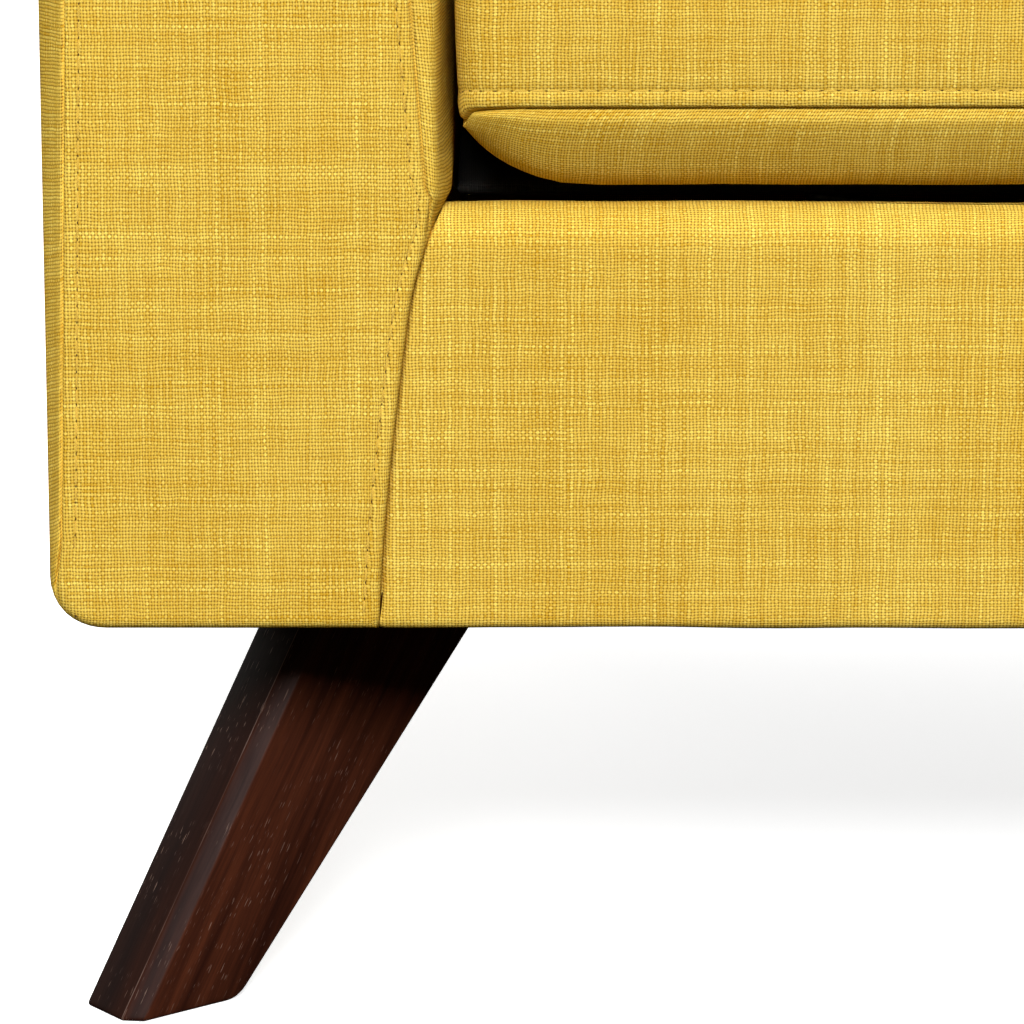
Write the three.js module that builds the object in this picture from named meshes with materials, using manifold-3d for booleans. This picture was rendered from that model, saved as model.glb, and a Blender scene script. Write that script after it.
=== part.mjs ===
// A two-seat-cushion sofa with track arms, loose cushions and four splayed blade legs.
// Millimetres, +Z up. The front faces -Y, "left" is -X, and the origin is on the floor,
// midway between the sides and midway between the front and the back.
import * as THREE from 'three';
import { mergeVertices } from 'three/addons/utils/BufferGeometryUtils.js';
import Module from 'manifold-3d';

const wasm = await Module();
wasm.setup();

// ---- Driving dimensions ----

const WIDTH = 2080;
const DEPTH = 900;
const HEIGHT = 840;
const BODY_BOTTOM = 160; // the height of the legs
const DECK_TOP = 317; // the platform that the loose cushions rest on
const ARM_WIDTH = 144;
const ARM_FOOT_WIDTH = 118; // the arm's front panel narrows to this at its lower edge
const ARM_TOP = 610;
const RAKE = THREE.MathUtils.degToRad(10); // the back leans this far from upright
const REAR_FOOT = 333.1; // y of the rear face at the height of the body's bottom
const BACK_THICKNESS = 105;
const SEAT_CUSHION_HEIGHT = 148;
const BACK_CUSHION_THICKNESS = 148;
const BACK_CUSHION_LENGTH = 500; // along the slope of the back
const COVER_WALL = 4; // cushion cover with its fibre wrap
const GAP = 0.3; // clearance between pieces that touch
const OVERSHOOT = 5; // how far a cutting shape reaches past what it cuts

const OUTER = WIDTH / 2;
const FRONT = -DEPTH / 2;
const ARM_INNER = OUTER - ARM_WIDTH;

// upholstery thicknesses, cloth and padding together
const SIDE_PADDING = 15;
const INNER_PADDING = 13;
const FRONT_PADDING = 22;
const REAR_PADDING = 12;
const ARM_TOP_PADDING = 22;
const BACK_FRONT_PADDING = 25;
const BACK_TOP_PADDING = 25;
const RAIL_SETBACK = 2.5; // the rail's cloth lies this far behind the arm's front panel
const RAIL_PADDING = 20;
const DECK_THICKNESS = 11;
const RAIL_TOP_DEPTH = 64; // how far the rail's cover runs back over the rail

// timber
const RAIL_THICKNESS = 28;
const RAIL_BOTTOM = BODY_BOTTOM + 3.3;
const RAIL_TOP = 300;
const BOARD = 18;
const SIDE_RAIL_THICKNESS = 25;
const POST_THICKNESS = 30;
const POST_WIDTH = 45;
const STRETCHER_WIDTH = 40;
const STRETCHER_DROP = 20; // the stretcher's top lies this far below the rails'
const BLOCK_WIDTH = 148;
const BLOCK_DEPTH = 128;
const BLOCK_HEIGHT = 60;
const FRAME_FRONT = FRONT + FRONT_PADDING + GAP;
const FRAME_SIDE = OUTER - SIDE_PADDING - GAP;
const FRAME_REAR = REAR_PADDING + GAP; // distance in front of the raked rear face

// ---- Materials ----

function material(color, roughness, metalness = 0) {
  return new THREE.MeshStandardMaterial({ color, roughness, metalness });
}

const cloth = material(0xdbb842, 0.9);
const dustCloth = material(0x1c1b1a, 0.95);
const legWood = material(0x36180e, 0.4);
const frameWood = material(0xc8a678, 0.8);
const foam = material(0xece5cf, 0.95);
const springSteel = material(0x55585c, 0.4, 0.9);
const boltSteel = material(0xa9adb0, 0.35, 1);
const glideFelt = material(0x2a2422, 0.8);
const zipTape = material(0xb8922c, 0.9);
const zipMetal = material(0x9a8b5c, 0.35, 1);

// ---- Solids ----

function toSolid(geometry) {
  const bare = geometry.clone();
  bare.deleteAttribute('normal');
  bare.deleteAttribute('uv');
  const merged = mergeVertices(bare, 1e-4);
  return new wasm.Manifold(new wasm.Mesh({
    numProp: 3,
    vertProperties: new Float32Array(merged.attributes.position.array),
    triVerts: new Uint32Array(merged.index.array),
  }));
}

function toGeometry(solid) {
  const mesh = solid.getMesh();
  const geometry = new THREE.BufferGeometry();
  geometry.setAttribute('position', new THREE.BufferAttribute(mesh.vertProperties, 3));
  geometry.setIndex(new THREE.BufferAttribute(mesh.triVerts, 1));
  geometry.computeVertexNormals();
  return geometry;
}

function cut(geometry, ...tools) {
  return toGeometry(tools.reduce((solid, tool) => solid.subtract(toSolid(tool)), toSolid(geometry)));
}

function common(geometry, other) {
  return toGeometry(toSolid(geometry).intersect(toSolid(other)));
}

function block(x0, x1, y0, y1, z0, z1) {
  const geometry = new THREE.BoxGeometry(x1 - x0, y1 - y0, z1 - z0);
  return geometry.translate((x0 + x1) / 2, (y0 + y1) / 2, (z0 + z1) / 2);
}

// A closed outline whose corners [a, b, radius] are rounded where the radius isn't zero.
function outline(corners) {
  const points = corners.map(([a, b]) => new THREE.Vector2(a, b));
  const shape = new THREE.Shape();
  corners.forEach(([, , radius = 0], i) => {
    const corner = points[i];
    const before = points[(i + points.length - 1) % points.length].clone().sub(corner).setLength(radius);
    const after = points[(i + 1) % points.length].clone().sub(corner).setLength(radius);
    const start = corner.clone().add(before);
    const end = corner.clone().add(after);
    if (i === 0) {
      shape.moveTo(start.x, start.y);
    } else {
      shape.lineTo(start.x, start.y);
    }
    if (radius > 0) {
      shape.quadraticCurveTo(corner.x, corner.y, end.x, end.y);
    }
  });
  return shape;
}

// A (y, z) outline carried along X.
function alongX(shape, x0, x1) {
  const geometry = new THREE.ExtrudeGeometry(shape, {
    depth: x1 - x0,
    bevelEnabled: false,
    curveSegments: 5,
  });
  const axes = new THREE.Matrix4().makeBasis(
    new THREE.Vector3(0, 1, 0), new THREE.Vector3(0, 0, 1), new THREE.Vector3(1, 0, 0));
  return geometry.applyMatrix4(axes).translate(x0, 0, 0);
}

// An (x, z) outline carried along Y.
function alongY(shape, y0, y1) {
  const geometry = new THREE.ExtrudeGeometry(shape, {
    depth: y1 - y0,
    bevelEnabled: false,
    curveSegments: 5,
  });
  const axes = new THREE.Matrix4().makeBasis(
    new THREE.Vector3(1, 0, 0), new THREE.Vector3(0, 0, 1), new THREE.Vector3(0, -1, 0));
  return geometry.applyMatrix4(axes).translate(0, y1, 0);
}

// The same piece on the other side of the sofa, or on its other end.
function mirrored(geometry, x = -1, y = 1) {
  const copy = geometry.index ? geometry.toNonIndexed() : geometry.clone();
  const position = copy.attributes.position;
  for (let i = 0; i < position.count; i += 3) {
    const corners = [0, 1, 2].map((k) => new THREE.Vector3().fromBufferAttribute(position, i + k));
    const order = x * y < 0 ? [0, 2, 1] : [0, 1, 2];
    order.forEach((from, k) => {
      position.setXYZ(i + k, corners[from].x * x, corners[from].y * y, corners[from].z);
    });
  }
  copy.computeVertexNormals();
  return copy;
}

// y of the plane that lies `inset` in front of the raked rear face, at height z
function rearY(inset, z) {
  return REAR_FOOT + (z - BODY_BOTTOM) * Math.tan(RAKE) - inset / Math.cos(RAKE);
}

// A board between two planes parallel to the rear face, cut level at its top and bottom.
function rakedBoard(x0, x1, inset, thickness, z0, z1) {
  return alongX(outline([
    [rearY(inset + thickness, z0), z0],
    [rearY(inset, z0), z0],
    [rearY(inset, z1), z1],
    [rearY(inset + thickness, z1), z1],
  ]), x0, x1);
}

// A level piece that runs back from y0 and ends against a raked board.
function runToRear(x0, x1, y0, inset, z0, z1) {
  return alongX(outline([
    [y0, z0],
    [rearY(inset, z0), z0],
    [rearY(inset, z1), z1],
    [y0, z1],
  ]), x0, x1);
}

// A block with rounded upright corners and rounded edges, centred on the origin.
function softBlock(width, depth, height, corner, edge) {
  const w = width / 2;
  const d = depth / 2;
  const shape = outline([[-w, -d, corner], [w, -d, corner], [w, d, corner], [-w, d, corner]]);
  const geometry = new THREE.ExtrudeGeometry(shape, {
    depth: height - 2 * edge,
    bevelThickness: edge,
    bevelSize: edge,
    bevelOffset: -edge,
    bevelSegments: 3,
    curveSegments: 4,
  });
  return geometry.translate(0, 0, edge - height / 2);
}

const sofa = new THREE.Group();

function add(name, geometry, finish) {
  const mesh = new THREE.Mesh(geometry, finish);
  mesh.name = name;
  sofa.add(mesh);
}

function addPair(name, geometry, finish) {
  add(`${name}_left`, geometry, finish);
  add(`${name}_right`, mirrored(geometry), finish);
}

// ---- Legs: tapered blades that splay out along the corner's diagonal ----

const LEG_THICKNESS = 31;
const LEG_TURN = THREE.MathUtils.degToRad(38.2); // the blade's plane, from +X towards +Y
const LEG_FOOT_BREADTH = 50.2;
const LEG_OUTER_SLOPE = 0.607; // inward per mm of height, at the outer edge
const LEG_INNER_SLOPE = 0.873;
const LEG_INSET_X = 23.1; // the foot's outermost corner, in from the arm's outer face
const LEG_INSET_Y = 23.2; // and behind the arm's front panel
const LEG_CHAMFER = 6;
const LEG_TOP = RAIL_BOTTOM - GAP;
const GLIDE_HEIGHT = 1.5;
const BOLT_RADIUS = 4;
const BOLT_BOTTOM = 125;
const BOLT_TOP = 213;

const legCorner = new THREE.Vector3(LEG_INSET_X - OUTER, LEG_INSET_Y + FRONT, 0);
const rearLegShift = (REAR_FOOT + FRONT) / 2;

// Turns a piece drawn on the blade's own (along, up, across) axes into its place at the front left.
function onBlade(geometry) {
  const axes = new THREE.Matrix4().makeBasis(
    new THREE.Vector3(Math.cos(LEG_TURN), Math.sin(LEG_TURN), 0),
    new THREE.Vector3(0, 0, 1),
    new THREE.Vector3(Math.sin(LEG_TURN), -Math.cos(LEG_TURN), 0));
  return geometry.applyMatrix4(axes).translate(legCorner.x, legCorner.y, 0);
}

function legOutline(z0, z1) {
  return outline([
    [LEG_OUTER_SLOPE * z0, z0],
    [LEG_FOOT_BREADTH + LEG_INNER_SLOPE * z0, z0],
    [LEG_FOOT_BREADTH + LEG_INNER_SLOPE * z1, z1],
    [LEG_OUTER_SLOPE * z1, z1],
  ]);
}

const boltAlong = (LEG_FOOT_BREADTH + (LEG_OUTER_SLOPE + LEG_INNER_SLOPE) * LEG_TOP) / 2;

function upright(radius, z0, z1) {
  const rod = new THREE.CylinderGeometry(radius, radius, z1 - z0, 12);
  return onBlade(rod.translate(boltAlong, (z0 + z1) / 2, -LEG_THICKNESS / 2));
}

function leg() {
  const blade = new THREE.ExtrudeGeometry(legOutline(GLIDE_HEIGHT + GAP, LEG_TOP), {
    depth: LEG_THICKNESS - 2 * LEG_CHAMFER,
    bevelThickness: LEG_CHAMFER,
    bevelSize: LEG_CHAMFER,
    bevelOffset: -LEG_CHAMFER,
    bevelSegments: 1,
  });
  const placed = onBlade(blade.translate(0, 0, LEG_CHAMFER - LEG_THICKNESS));
  return cut(placed, upright(BOLT_RADIUS + GAP, BOLT_BOTTOM - GAP, LEG_TOP + OVERSHOOT));
}

function glide() {
  const inset = LEG_CHAMFER + 1;
  const pad = new THREE.BoxGeometry(
    LEG_FOOT_BREADTH - 2 * inset, GLIDE_HEIGHT, LEG_THICKNESS - 2 * inset);
  return onBlade(pad.translate(LEG_FOOT_BREADTH / 2, GLIDE_HEIGHT / 2, -LEG_THICKNESS / 2));
}

function cornerBlock() {
  const x0 = -FRAME_SIDE + SIDE_RAIL_THICKNESS + GAP;
  const y0 = FRAME_FRONT + RAIL_THICKNESS + GAP;
  const wood = block(x0, x0 + BLOCK_WIDTH, y0, y0 + BLOCK_DEPTH, RAIL_BOTTOM, RAIL_BOTTOM + BLOCK_HEIGHT);
  return cut(wood, upright(BOLT_RADIUS + GAP, RAIL_BOTTOM - OVERSHOOT, BOLT_TOP + GAP));
}

// The front corner's piece, and its copy at the back, turned end for end.
function addAtCorners(name, geometry, finish) {
  addPair(`${name}_front`, geometry, finish);
  const back = mirrored(geometry, 1, -1).translate(0, 2 * rearLegShift, 0);
  addPair(`${name}_back`, back, finish);
}

addAtCorners('leg', leg(), legWood);
addAtCorners('leg_bolt', upright(BOLT_RADIUS, BOLT_BOTTOM, BOLT_TOP), boltSteel);
addAtCorners('glide', glide(), glideFelt);

// ---- Timber frame ----

const innerSide = FRAME_SIDE - SIDE_RAIL_THICKNESS;
const boardInner = ARM_INNER + INNER_PADDING + GAP;
const backRailInset = FRAME_REAR + RAIL_THICKNESS + GAP;

add('front_rail', block(-boardInner + GAP, boardInner - GAP, FRAME_FRONT, FRAME_FRONT + RAIL_THICKNESS,
  RAIL_BOTTOM, RAIL_TOP), frameWood);
add('back_rail', rakedBoard(-FRAME_SIDE, FRAME_SIDE, FRAME_REAR, RAIL_THICKNESS, RAIL_BOTTOM, RAIL_TOP),
  frameWood);
addPair('side_rail', runToRear(-FRAME_SIDE, -innerSide, FRAME_FRONT + BOARD + GAP, backRailInset,
  RAIL_BOTTOM, RAIL_TOP), frameWood);
add('centre_stretcher', runToRear(-STRETCHER_WIDTH / 2, STRETCHER_WIDTH / 2,
  FRAME_FRONT + RAIL_THICKNESS + GAP, backRailInset, RAIL_BOTTOM, RAIL_TOP - STRETCHER_DROP), frameWood);

const frontBlock = cornerBlock();
addPair('corner_block_front', frontBlock, frameWood);
const rearLimit = rearY(backRailInset, RAIL_BOTTOM);
const backBlock = mirrored(frontBlock, 1, -1).translate(0, 2 * rearLegShift, 0);
addPair('corner_block_back', common(backBlock, block(-OUTER, 0, -100, rearLimit, 0, HEIGHT)), frameWood);

// arms: a front board, a rear board and a top board on each
const armBoardTop = ARM_TOP - ARM_TOP_PADDING - GAP;
addPair('arm_front_board', block(-FRAME_SIDE, -boardInner, FRAME_FRONT, FRAME_FRONT + BOARD,
  RAIL_BOTTOM, armBoardTop), frameWood);
addPair('arm_rear_board', rakedBoard(-FRAME_SIDE, -boardInner, FRAME_REAR, BOARD,
  RAIL_TOP + GAP, armBoardTop), frameWood);
addPair('arm_top_board', runToRear(-FRAME_SIDE, -boardInner, FRAME_FRONT + BOARD + GAP,
  FRAME_REAR + BOARD + GAP, armBoardTop - BOARD, armBoardTop), frameWood);

// back: two end posts, a centre post and a top rail
const BACK_SIDE_GAP = 2.5; // between the back and each arm
const backSide = ARM_INNER - BACK_SIDE_GAP;
const postOuter = backSide - REAR_PADDING - GAP;
const backFrameTop = HEIGHT - BACK_TOP_PADDING - GAP;
const postTop = backFrameTop - RAIL_THICKNESS - GAP;
addPair('back_post', rakedBoard(-postOuter, POST_WIDTH - postOuter, FRAME_REAR, POST_THICKNESS,
  RAIL_TOP + GAP, postTop), frameWood);
add('back_centre_post', rakedBoard(-POST_WIDTH / 2, POST_WIDTH / 2, FRAME_REAR, POST_THICKNESS,
  RAIL_TOP + GAP, postTop), frameWood);
add('back_top_rail', rakedBoard(-postOuter, postOuter, FRAME_REAR, POST_THICKNESS,
  postTop + GAP, backFrameTop), frameWood);

// ---- Seat springs: flat sinuous wires from the front rail to the back rail ----

const WIRE_RADIUS = 2;
const SPRING_HALF_WIDTH = 23;
const SPRING_WAVES = 9;
const SPRING_COUNT = 6;
const springFront = FRAME_FRONT + RAIL_THICKNESS / 2;
const springRear = rearY(FRAME_REAR + RAIL_THICKNESS / 2, RAIL_TOP);

class SinuousCurve extends THREE.Curve {
  getPoint(t, target = new THREE.Vector3()) {
    const y = THREE.MathUtils.lerp(springFront, springRear, t);
    return target.set(SPRING_HALF_WIDTH * Math.sin(2 * Math.PI * SPRING_WAVES * t), y, 0);
  }
}

function spring() {
  const section = new THREE.Shape();
  section.absarc(0, 0, WIRE_RADIUS, 0, 2 * Math.PI);
  return new THREE.ExtrudeGeometry(section, {
    extrudePath: new SinuousCurve(),
    steps: SPRING_WAVES * 6,
    curveSegments: 5,
    bevelEnabled: false,
  });
}

const springSpacing = 2 * ARM_INNER / SPRING_COUNT;
for (let i = 0; i < SPRING_COUNT; i += 1) {
  const x = (i - (SPRING_COUNT - 1) / 2) * springSpacing;
  add(`seat_spring_${i + 1}`, spring().translate(x, 0, RAIL_TOP + GAP + WIRE_RADIUS), springSteel);
}

// ---- Fixed upholstery ----

// Where the arm's front panel gives way to the rail's cloth: nearly upright, then curving inward.
function panelEdge(shape, shift) {
  const x = (width) => -OUTER + width + shift;
  shape.lineTo(x(ARM_FOOT_WIDTH + 9.5), BODY_BOTTOM + 105);
  shape.quadraticCurveTo(x(ARM_FOOT_WIDTH + 13), DECK_TOP - 20, x(ARM_WIDTH), DECK_TOP);
}

function besidePanel(shift, reach) {
  const shape = new THREE.Shape();
  shape.moveTo(-OUTER + ARM_FOOT_WIDTH + shift, BODY_BOTTOM - 1);
  panelEdge(shape, shift);
  shape.lineTo(-OUTER + ARM_WIDTH + shift, DECK_TOP + 1);
  shape.lineTo(reach, DECK_TOP + 1);
  shape.lineTo(reach, BODY_BOTTOM - 1);
  return shape;
}

const railCoverRear = FRONT + RAIL_TOP_DEPTH;

function armCover() {
  const face = alongY(outline([
    [-OUTER, BODY_BOTTOM, 19],
    [-ARM_INNER, BODY_BOTTOM],
    [-ARM_INNER, ARM_TOP, 14],
    [-OUTER, ARM_TOP, 14],
  ]), FRONT, DEPTH / 2);
  const side = runToRear(-OUTER - 1, 0, FRONT, 0, BODY_BOTTOM - 1, ARM_TOP + 1);
  const hollowSide = -OUTER + SIDE_PADDING;
  const hollowFront = FRONT + FRONT_PADDING;
  const armHollow = runToRear(hollowSide, -ARM_INNER - INNER_PADDING, hollowFront, REAR_PADDING,
    BODY_BOTTOM - OVERSHOOT, ARM_TOP - ARM_TOP_PADDING);
  const seatHollow = runToRear(hollowSide, -ARM_INNER + OVERSHOOT, hollowFront, REAR_PADDING,
    BODY_BOTTOM - OVERSHOOT, RAIL_TOP);
  const railEnd = alongY(besidePanel(0, -ARM_INNER + OVERSHOOT), FRONT - 1, railCoverRear + 1);
  return cut(common(face, side), armHollow, seatHollow, railEnd);
}

addPair('arm_cover', armCover(), cloth);

const RAIL_COVER_PLAY = 0.2; // between the rail and the cover that wraps it

function frontRailCover() {
  const face = FRONT + RAIL_SETBACK;
  const section = alongX(outline([
    [face, BODY_BOTTOM, 4],
    [face + RAIL_PADDING - RAIL_COVER_PLAY, BODY_BOTTOM],
    [face + RAIL_PADDING - RAIL_COVER_PLAY, DECK_TOP - DECK_THICKNESS - 1],
    [railCoverRear, DECK_TOP - DECK_THICKNESS - 1],
    [railCoverRear, DECK_TOP],
    [face, DECK_TOP, 14],
  ]), -OUTER, OUTER);
  const left = alongY(besidePanel(GAP, OUTER), FRONT - 1, railCoverRear + 1);
  return common(common(section, left), mirrored(left));
}

add('front_rail_cover', frontRailCover(), cloth);

const DECK_SIDE_GAP = 1.4; // between the deck and each arm
const deckSide = ARM_INNER - DECK_SIDE_GAP;
const deckRear = rearY(FRAME_REAR + POST_THICKNESS + 1, RAIL_TOP);
add('seat_deck', block(-deckSide, deckSide, railCoverRear + GAP, deckRear,
  DECK_TOP - DECK_THICKNESS, DECK_TOP), dustCloth);

function backCover() {
  const shell = alongX(outline([
    [rearY(BACK_THICKNESS, BODY_BOTTOM), BODY_BOTTOM],
    [rearY(0, BODY_BOTTOM), BODY_BOTTOM],
    [rearY(0, HEIGHT), HEIGHT, 20],
    [rearY(BACK_THICKNESS, HEIGHT), HEIGHT, 24],
  ]), -backSide, backSide);
  const hollowDepth = BACK_THICKNESS - BACK_FRONT_PADDING - REAR_PADDING;
  const backHollow = rakedBoard(-backSide + REAR_PADDING, backSide - REAR_PADDING, REAR_PADDING,
    hollowDepth, BODY_BOTTOM - OVERSHOOT, HEIGHT - BACK_TOP_PADDING);
  const belowDeck = rakedBoard(-OUTER, OUTER, REAR_PADDING, BACK_THICKNESS,
    BODY_BOTTOM - OVERSHOOT, DECK_TOP + 0.5);
  return cut(shell, backHollow, belowDeck);
}

add('back_cover', backCover(), cloth);

function dustCover() {
  const z0 = BODY_BOTTOM + 1.3;
  const sheet = block(-FRAME_SIDE, FRAME_SIDE, FRAME_FRONT, rearY(FRAME_REAR, z0), z0, z0 + 1.5);
  const hole = new THREE.ExtrudeGeometry(legOutline(BODY_BOTTOM - OVERSHOOT, LEG_TOP + OVERSHOOT), {
    depth: LEG_THICKNESS + 1,
    bevelEnabled: false,
  });
  const front = onBlade(hole.translate(0, 0, -LEG_THICKNESS - 0.5));
  const back = mirrored(front, 1, -1).translate(0, 2 * rearLegShift, 0);
  return cut(sheet, front, mirrored(front), back, mirrored(back));
}

add('dust_cover', dustCover(), dustCloth);

// ---- Loose cushions: each is a cover with a zip, round a foam core ----

const CUSHION_CLEARANCE = 1.5;
const SEAT_REAR_GAP = 2.5; // between a seat cushion and the back cushion's foot
const ZIP_LENGTH = 700;
const ZIP_SLOT = 10;
const TAPE_WIDTH = 24;
const TAPE_OVERLAP = 8; // past each end of the slot
const TAPE_THICKNESS = 1.2;
const SLIDER_LENGTH = 14;
const SLIDER_WIDTH = 7;
const SLIDER_THICKNESS = 3.2;
const FOAM_CLEARANCE = 0.5;

const cushionWidth = ARM_INNER - 2 * CUSHION_CLEARANCE;
const cushionX = -ARM_INNER / 2;

// The pieces of a zip that lies on y = 0 and faces +Y, centred on the origin: the cover's slot,
// the tape behind it, the groove in the foam, and the slider at its closed end.
function zipPieces() {
  const half = ZIP_LENGTH / 2;
  const inner = -COVER_WALL;
  return {
    slot: block(-half, half, inner - 2, 2, -ZIP_SLOT / 2, ZIP_SLOT / 2),
    tape: block(-half - TAPE_OVERLAP, half + TAPE_OVERLAP, inner - GAP - TAPE_THICKNESS, inner - GAP,
      -TAPE_WIDTH / 2, TAPE_WIDTH / 2),
    groove: block(-half - TAPE_OVERLAP - 2, half + TAPE_OVERLAP + 2,
      inner - GAP - TAPE_THICKNESS - 0.5, 2, -TAPE_WIDTH / 2 - 1, TAPE_WIDTH / 2 + 1),
    slider: block(-half + 2, -half + 2 + SLIDER_LENGTH, inner + GAP, inner + GAP + SLIDER_THICKNESS,
      -SLIDER_WIDTH / 2, SLIDER_WIDTH / 2),
  };
}

// Adds one kind of cushion at both places. `body(inset)` is its outer shape less `inset` all round,
// and `place` moves the zip from the origin to its place on the cushion.
function addCushions(name, body, place) {
  const zip = zipPieces();
  Object.values(zip).forEach(place);
  addPair(`${name}_cover`, cut(body(0), body(COVER_WALL), zip.slot), cloth);
  addPair(`${name}_foam`, cut(body(COVER_WALL + FOAM_CLEARANCE), zip.groove), foam);
  addPair(`${name}_zip`, zip.tape, zipTape);
  addPair(`${name}_zip_slider`, zip.slider, zipMetal);
}

// Seat cushions: level blocks whose zip is in the rear band.
const seatCushionBottom = DECK_TOP + 1;
const seatCushionFront = FRONT + 2;
const backCushionInset = BACK_THICKNESS + CUSHION_CLEARANCE;
const seatCushionRear = rearY(backCushionInset + BACK_CUSHION_THICKNESS, seatCushionBottom)
  - SEAT_REAR_GAP;
const seatCushionDepth = seatCushionRear - seatCushionFront;
const seatCushionMiddle = seatCushionBottom + SEAT_CUSHION_HEIGHT / 2;

function seatCushion(inset) {
  const shape = softBlock(cushionWidth - 2 * inset, seatCushionDepth - 2 * inset,
    SEAT_CUSHION_HEIGHT - 2 * inset, 24 - inset, 16 - inset);
  return shape.translate(cushionX, seatCushionFront + seatCushionDepth / 2, seatCushionMiddle);
}

addCushions('seat_cushion', seatCushion, (piece) => {
  piece.translate(cushionX, seatCushionRear, seatCushionMiddle);
});

// Back cushions: blocks that lean on the back and stand on the deck, cut level at the bottom,
// where their zip is.
const backCushionBottom = DECK_TOP + 1.5;

function backCushion(inset) {
  const spare = 60; // below the deck, cut away
  const shape = softBlock(cushionWidth - 2 * inset, BACK_CUSHION_THICKNESS - 2 * inset,
    BACK_CUSHION_LENGTH + spare - 2 * inset, 24 - inset, 16 - inset);
  shape.rotateX(-RAKE);
  const middle = (BACK_CUSHION_LENGTH - spare) / 2;
  const y = rearY(backCushionInset + BACK_CUSHION_THICKNESS / 2, backCushionBottom);
  shape.translate(cushionX, y + middle * Math.sin(RAKE), backCushionBottom + middle * Math.cos(RAKE));
  const above = block(-OUTER, 0, FRONT, DEPTH, backCushionBottom + inset, 2 * HEIGHT);
  return common(shape, above);
}

addCushions('back_cushion', backCushion, (piece) => {
  piece.rotateX(-Math.PI / 2);
  const y = rearY(backCushionInset + BACK_CUSHION_THICKNESS / 2, backCushionBottom);
  piece.translate(cushionX, y, backCushionBottom);
});

export default sofa;
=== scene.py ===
"""The sofa with wooden legs: cloth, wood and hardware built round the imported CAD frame."""
import math

import bmesh
import bpy
import numpy as np
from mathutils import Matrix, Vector


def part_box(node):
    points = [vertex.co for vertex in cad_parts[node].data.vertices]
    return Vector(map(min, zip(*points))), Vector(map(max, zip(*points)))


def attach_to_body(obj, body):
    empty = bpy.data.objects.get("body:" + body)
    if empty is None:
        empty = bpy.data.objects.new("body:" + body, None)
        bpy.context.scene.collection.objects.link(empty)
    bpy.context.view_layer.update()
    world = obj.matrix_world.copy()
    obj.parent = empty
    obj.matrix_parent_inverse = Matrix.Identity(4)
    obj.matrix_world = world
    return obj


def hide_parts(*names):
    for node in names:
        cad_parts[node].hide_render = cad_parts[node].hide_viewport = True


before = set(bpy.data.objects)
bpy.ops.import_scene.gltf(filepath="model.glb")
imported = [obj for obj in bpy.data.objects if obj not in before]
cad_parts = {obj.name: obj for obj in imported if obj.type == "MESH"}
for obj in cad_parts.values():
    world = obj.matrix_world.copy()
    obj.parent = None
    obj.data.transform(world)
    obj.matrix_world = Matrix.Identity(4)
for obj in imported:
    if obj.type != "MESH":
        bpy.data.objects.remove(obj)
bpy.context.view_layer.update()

MM = 0.001
RAKE = math.radians(10)  # the back leans this far from upright

# ---- Measures read from the frame ----

arm_low, arm_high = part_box("arm_cover_left")
rail_low, rail_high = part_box("front_rail_cover")
deck_low, deck_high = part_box("seat_deck")
back_low, back_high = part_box("back_cover")

OUTER = -arm_low.x
FRONT = arm_low.y
BODY_BOTTOM = arm_low.z
ARM_TOP = arm_high.z
ARM_WIDTH = arm_high.x - arm_low.x
DECK_TOP = deck_high.z
BACK_TOP = back_high.z
REAR_FOOT = arm_high.y - (ARM_TOP - BODY_BOTTOM) * math.tan(RAKE)
CLOTH_BOTTOM = BODY_BOTTOM - 0.9 * MM
BACK_THICKNESS = 105 * MM
FOOT_WIDTH = 117.6 * MM  # the arm's front panel narrows to this at the bottom


def rear_y(z, inset=0.0):
    """y of the plane that lies `inset` in front of the raked rear face, at height z."""
    return REAR_FOOT + (z - BODY_BOTTOM) * math.tan(RAKE) - inset / math.cos(RAKE)


# ---- Small maths ----

def smoothstep(low, high, value):
    t = np.clip((value - low) / (high - low), 0, 1)
    return t * t * (3 - 2 * t)


def bump(distance, width):
    """1 at distance 0, fading to nothing at about two widths."""
    return np.exp(-(distance / width) ** 2)


def quarter(t):
    """The rise of a quarter circle: 0 at t = 0, 1 and level from t = 1."""
    return np.sqrt(1 - (1 - np.clip(t, 0, 1)) ** 2)


def mix(a, b, t):
    return a + (b - a) * t


def wander(x, z, seed):
    """A slow, uneven wave between about -1 and 1 over a surface, as hand-stretched cloth has."""
    total = np.sin(x * 23 + seed) * np.cos(z * 17 + 2.1 * seed)
    total = total + 0.5 * np.sin(x * 51 + z * 37 + 3.7 * seed)
    return (total + 0.4 * np.cos(x * 89 - z * 71 + 1.3 * seed)) / 1.6


def arc(centre, radius, start, end, count=10):
    angle = np.radians(np.linspace(start, end, count))
    return np.column_stack([centre[0] + radius * np.cos(angle), centre[1] + radius * np.sin(angle)])


def resample(points, count):
    """`count` points, evenly spaced along a line of points."""
    points = np.asarray(points, float)
    steps = np.linalg.norm(np.diff(points, axis=0), axis=1)
    along = np.concatenate([[0], np.cumsum(steps)])
    wanted = np.linspace(0, along[-1], count)
    return np.column_stack([np.interp(wanted, along, points[:, k]) for k in range(points.shape[1])])


def run_length(points):
    steps = np.linalg.norm(np.diff(np.asarray(points, float), axis=0), axis=1)
    return np.concatenate([[0], np.cumsum(steps)])


def graded(length, near, step=None, count=None):
    """Places from 0 to length: the offsets `near` from both ends, and even steps of about `step`,
    or `count` of them, between."""
    near = np.asarray(near)
    middle = length - 2 * near[-1]
    count = count or max(1, round(middle / step))
    between = near[-1] + middle * np.arange(1, count) / count
    return np.concatenate([near, between, length - near[::-1]])


# ---- Meshes ----

WELD = 0.005 * MM  # points closer than this become one


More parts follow.
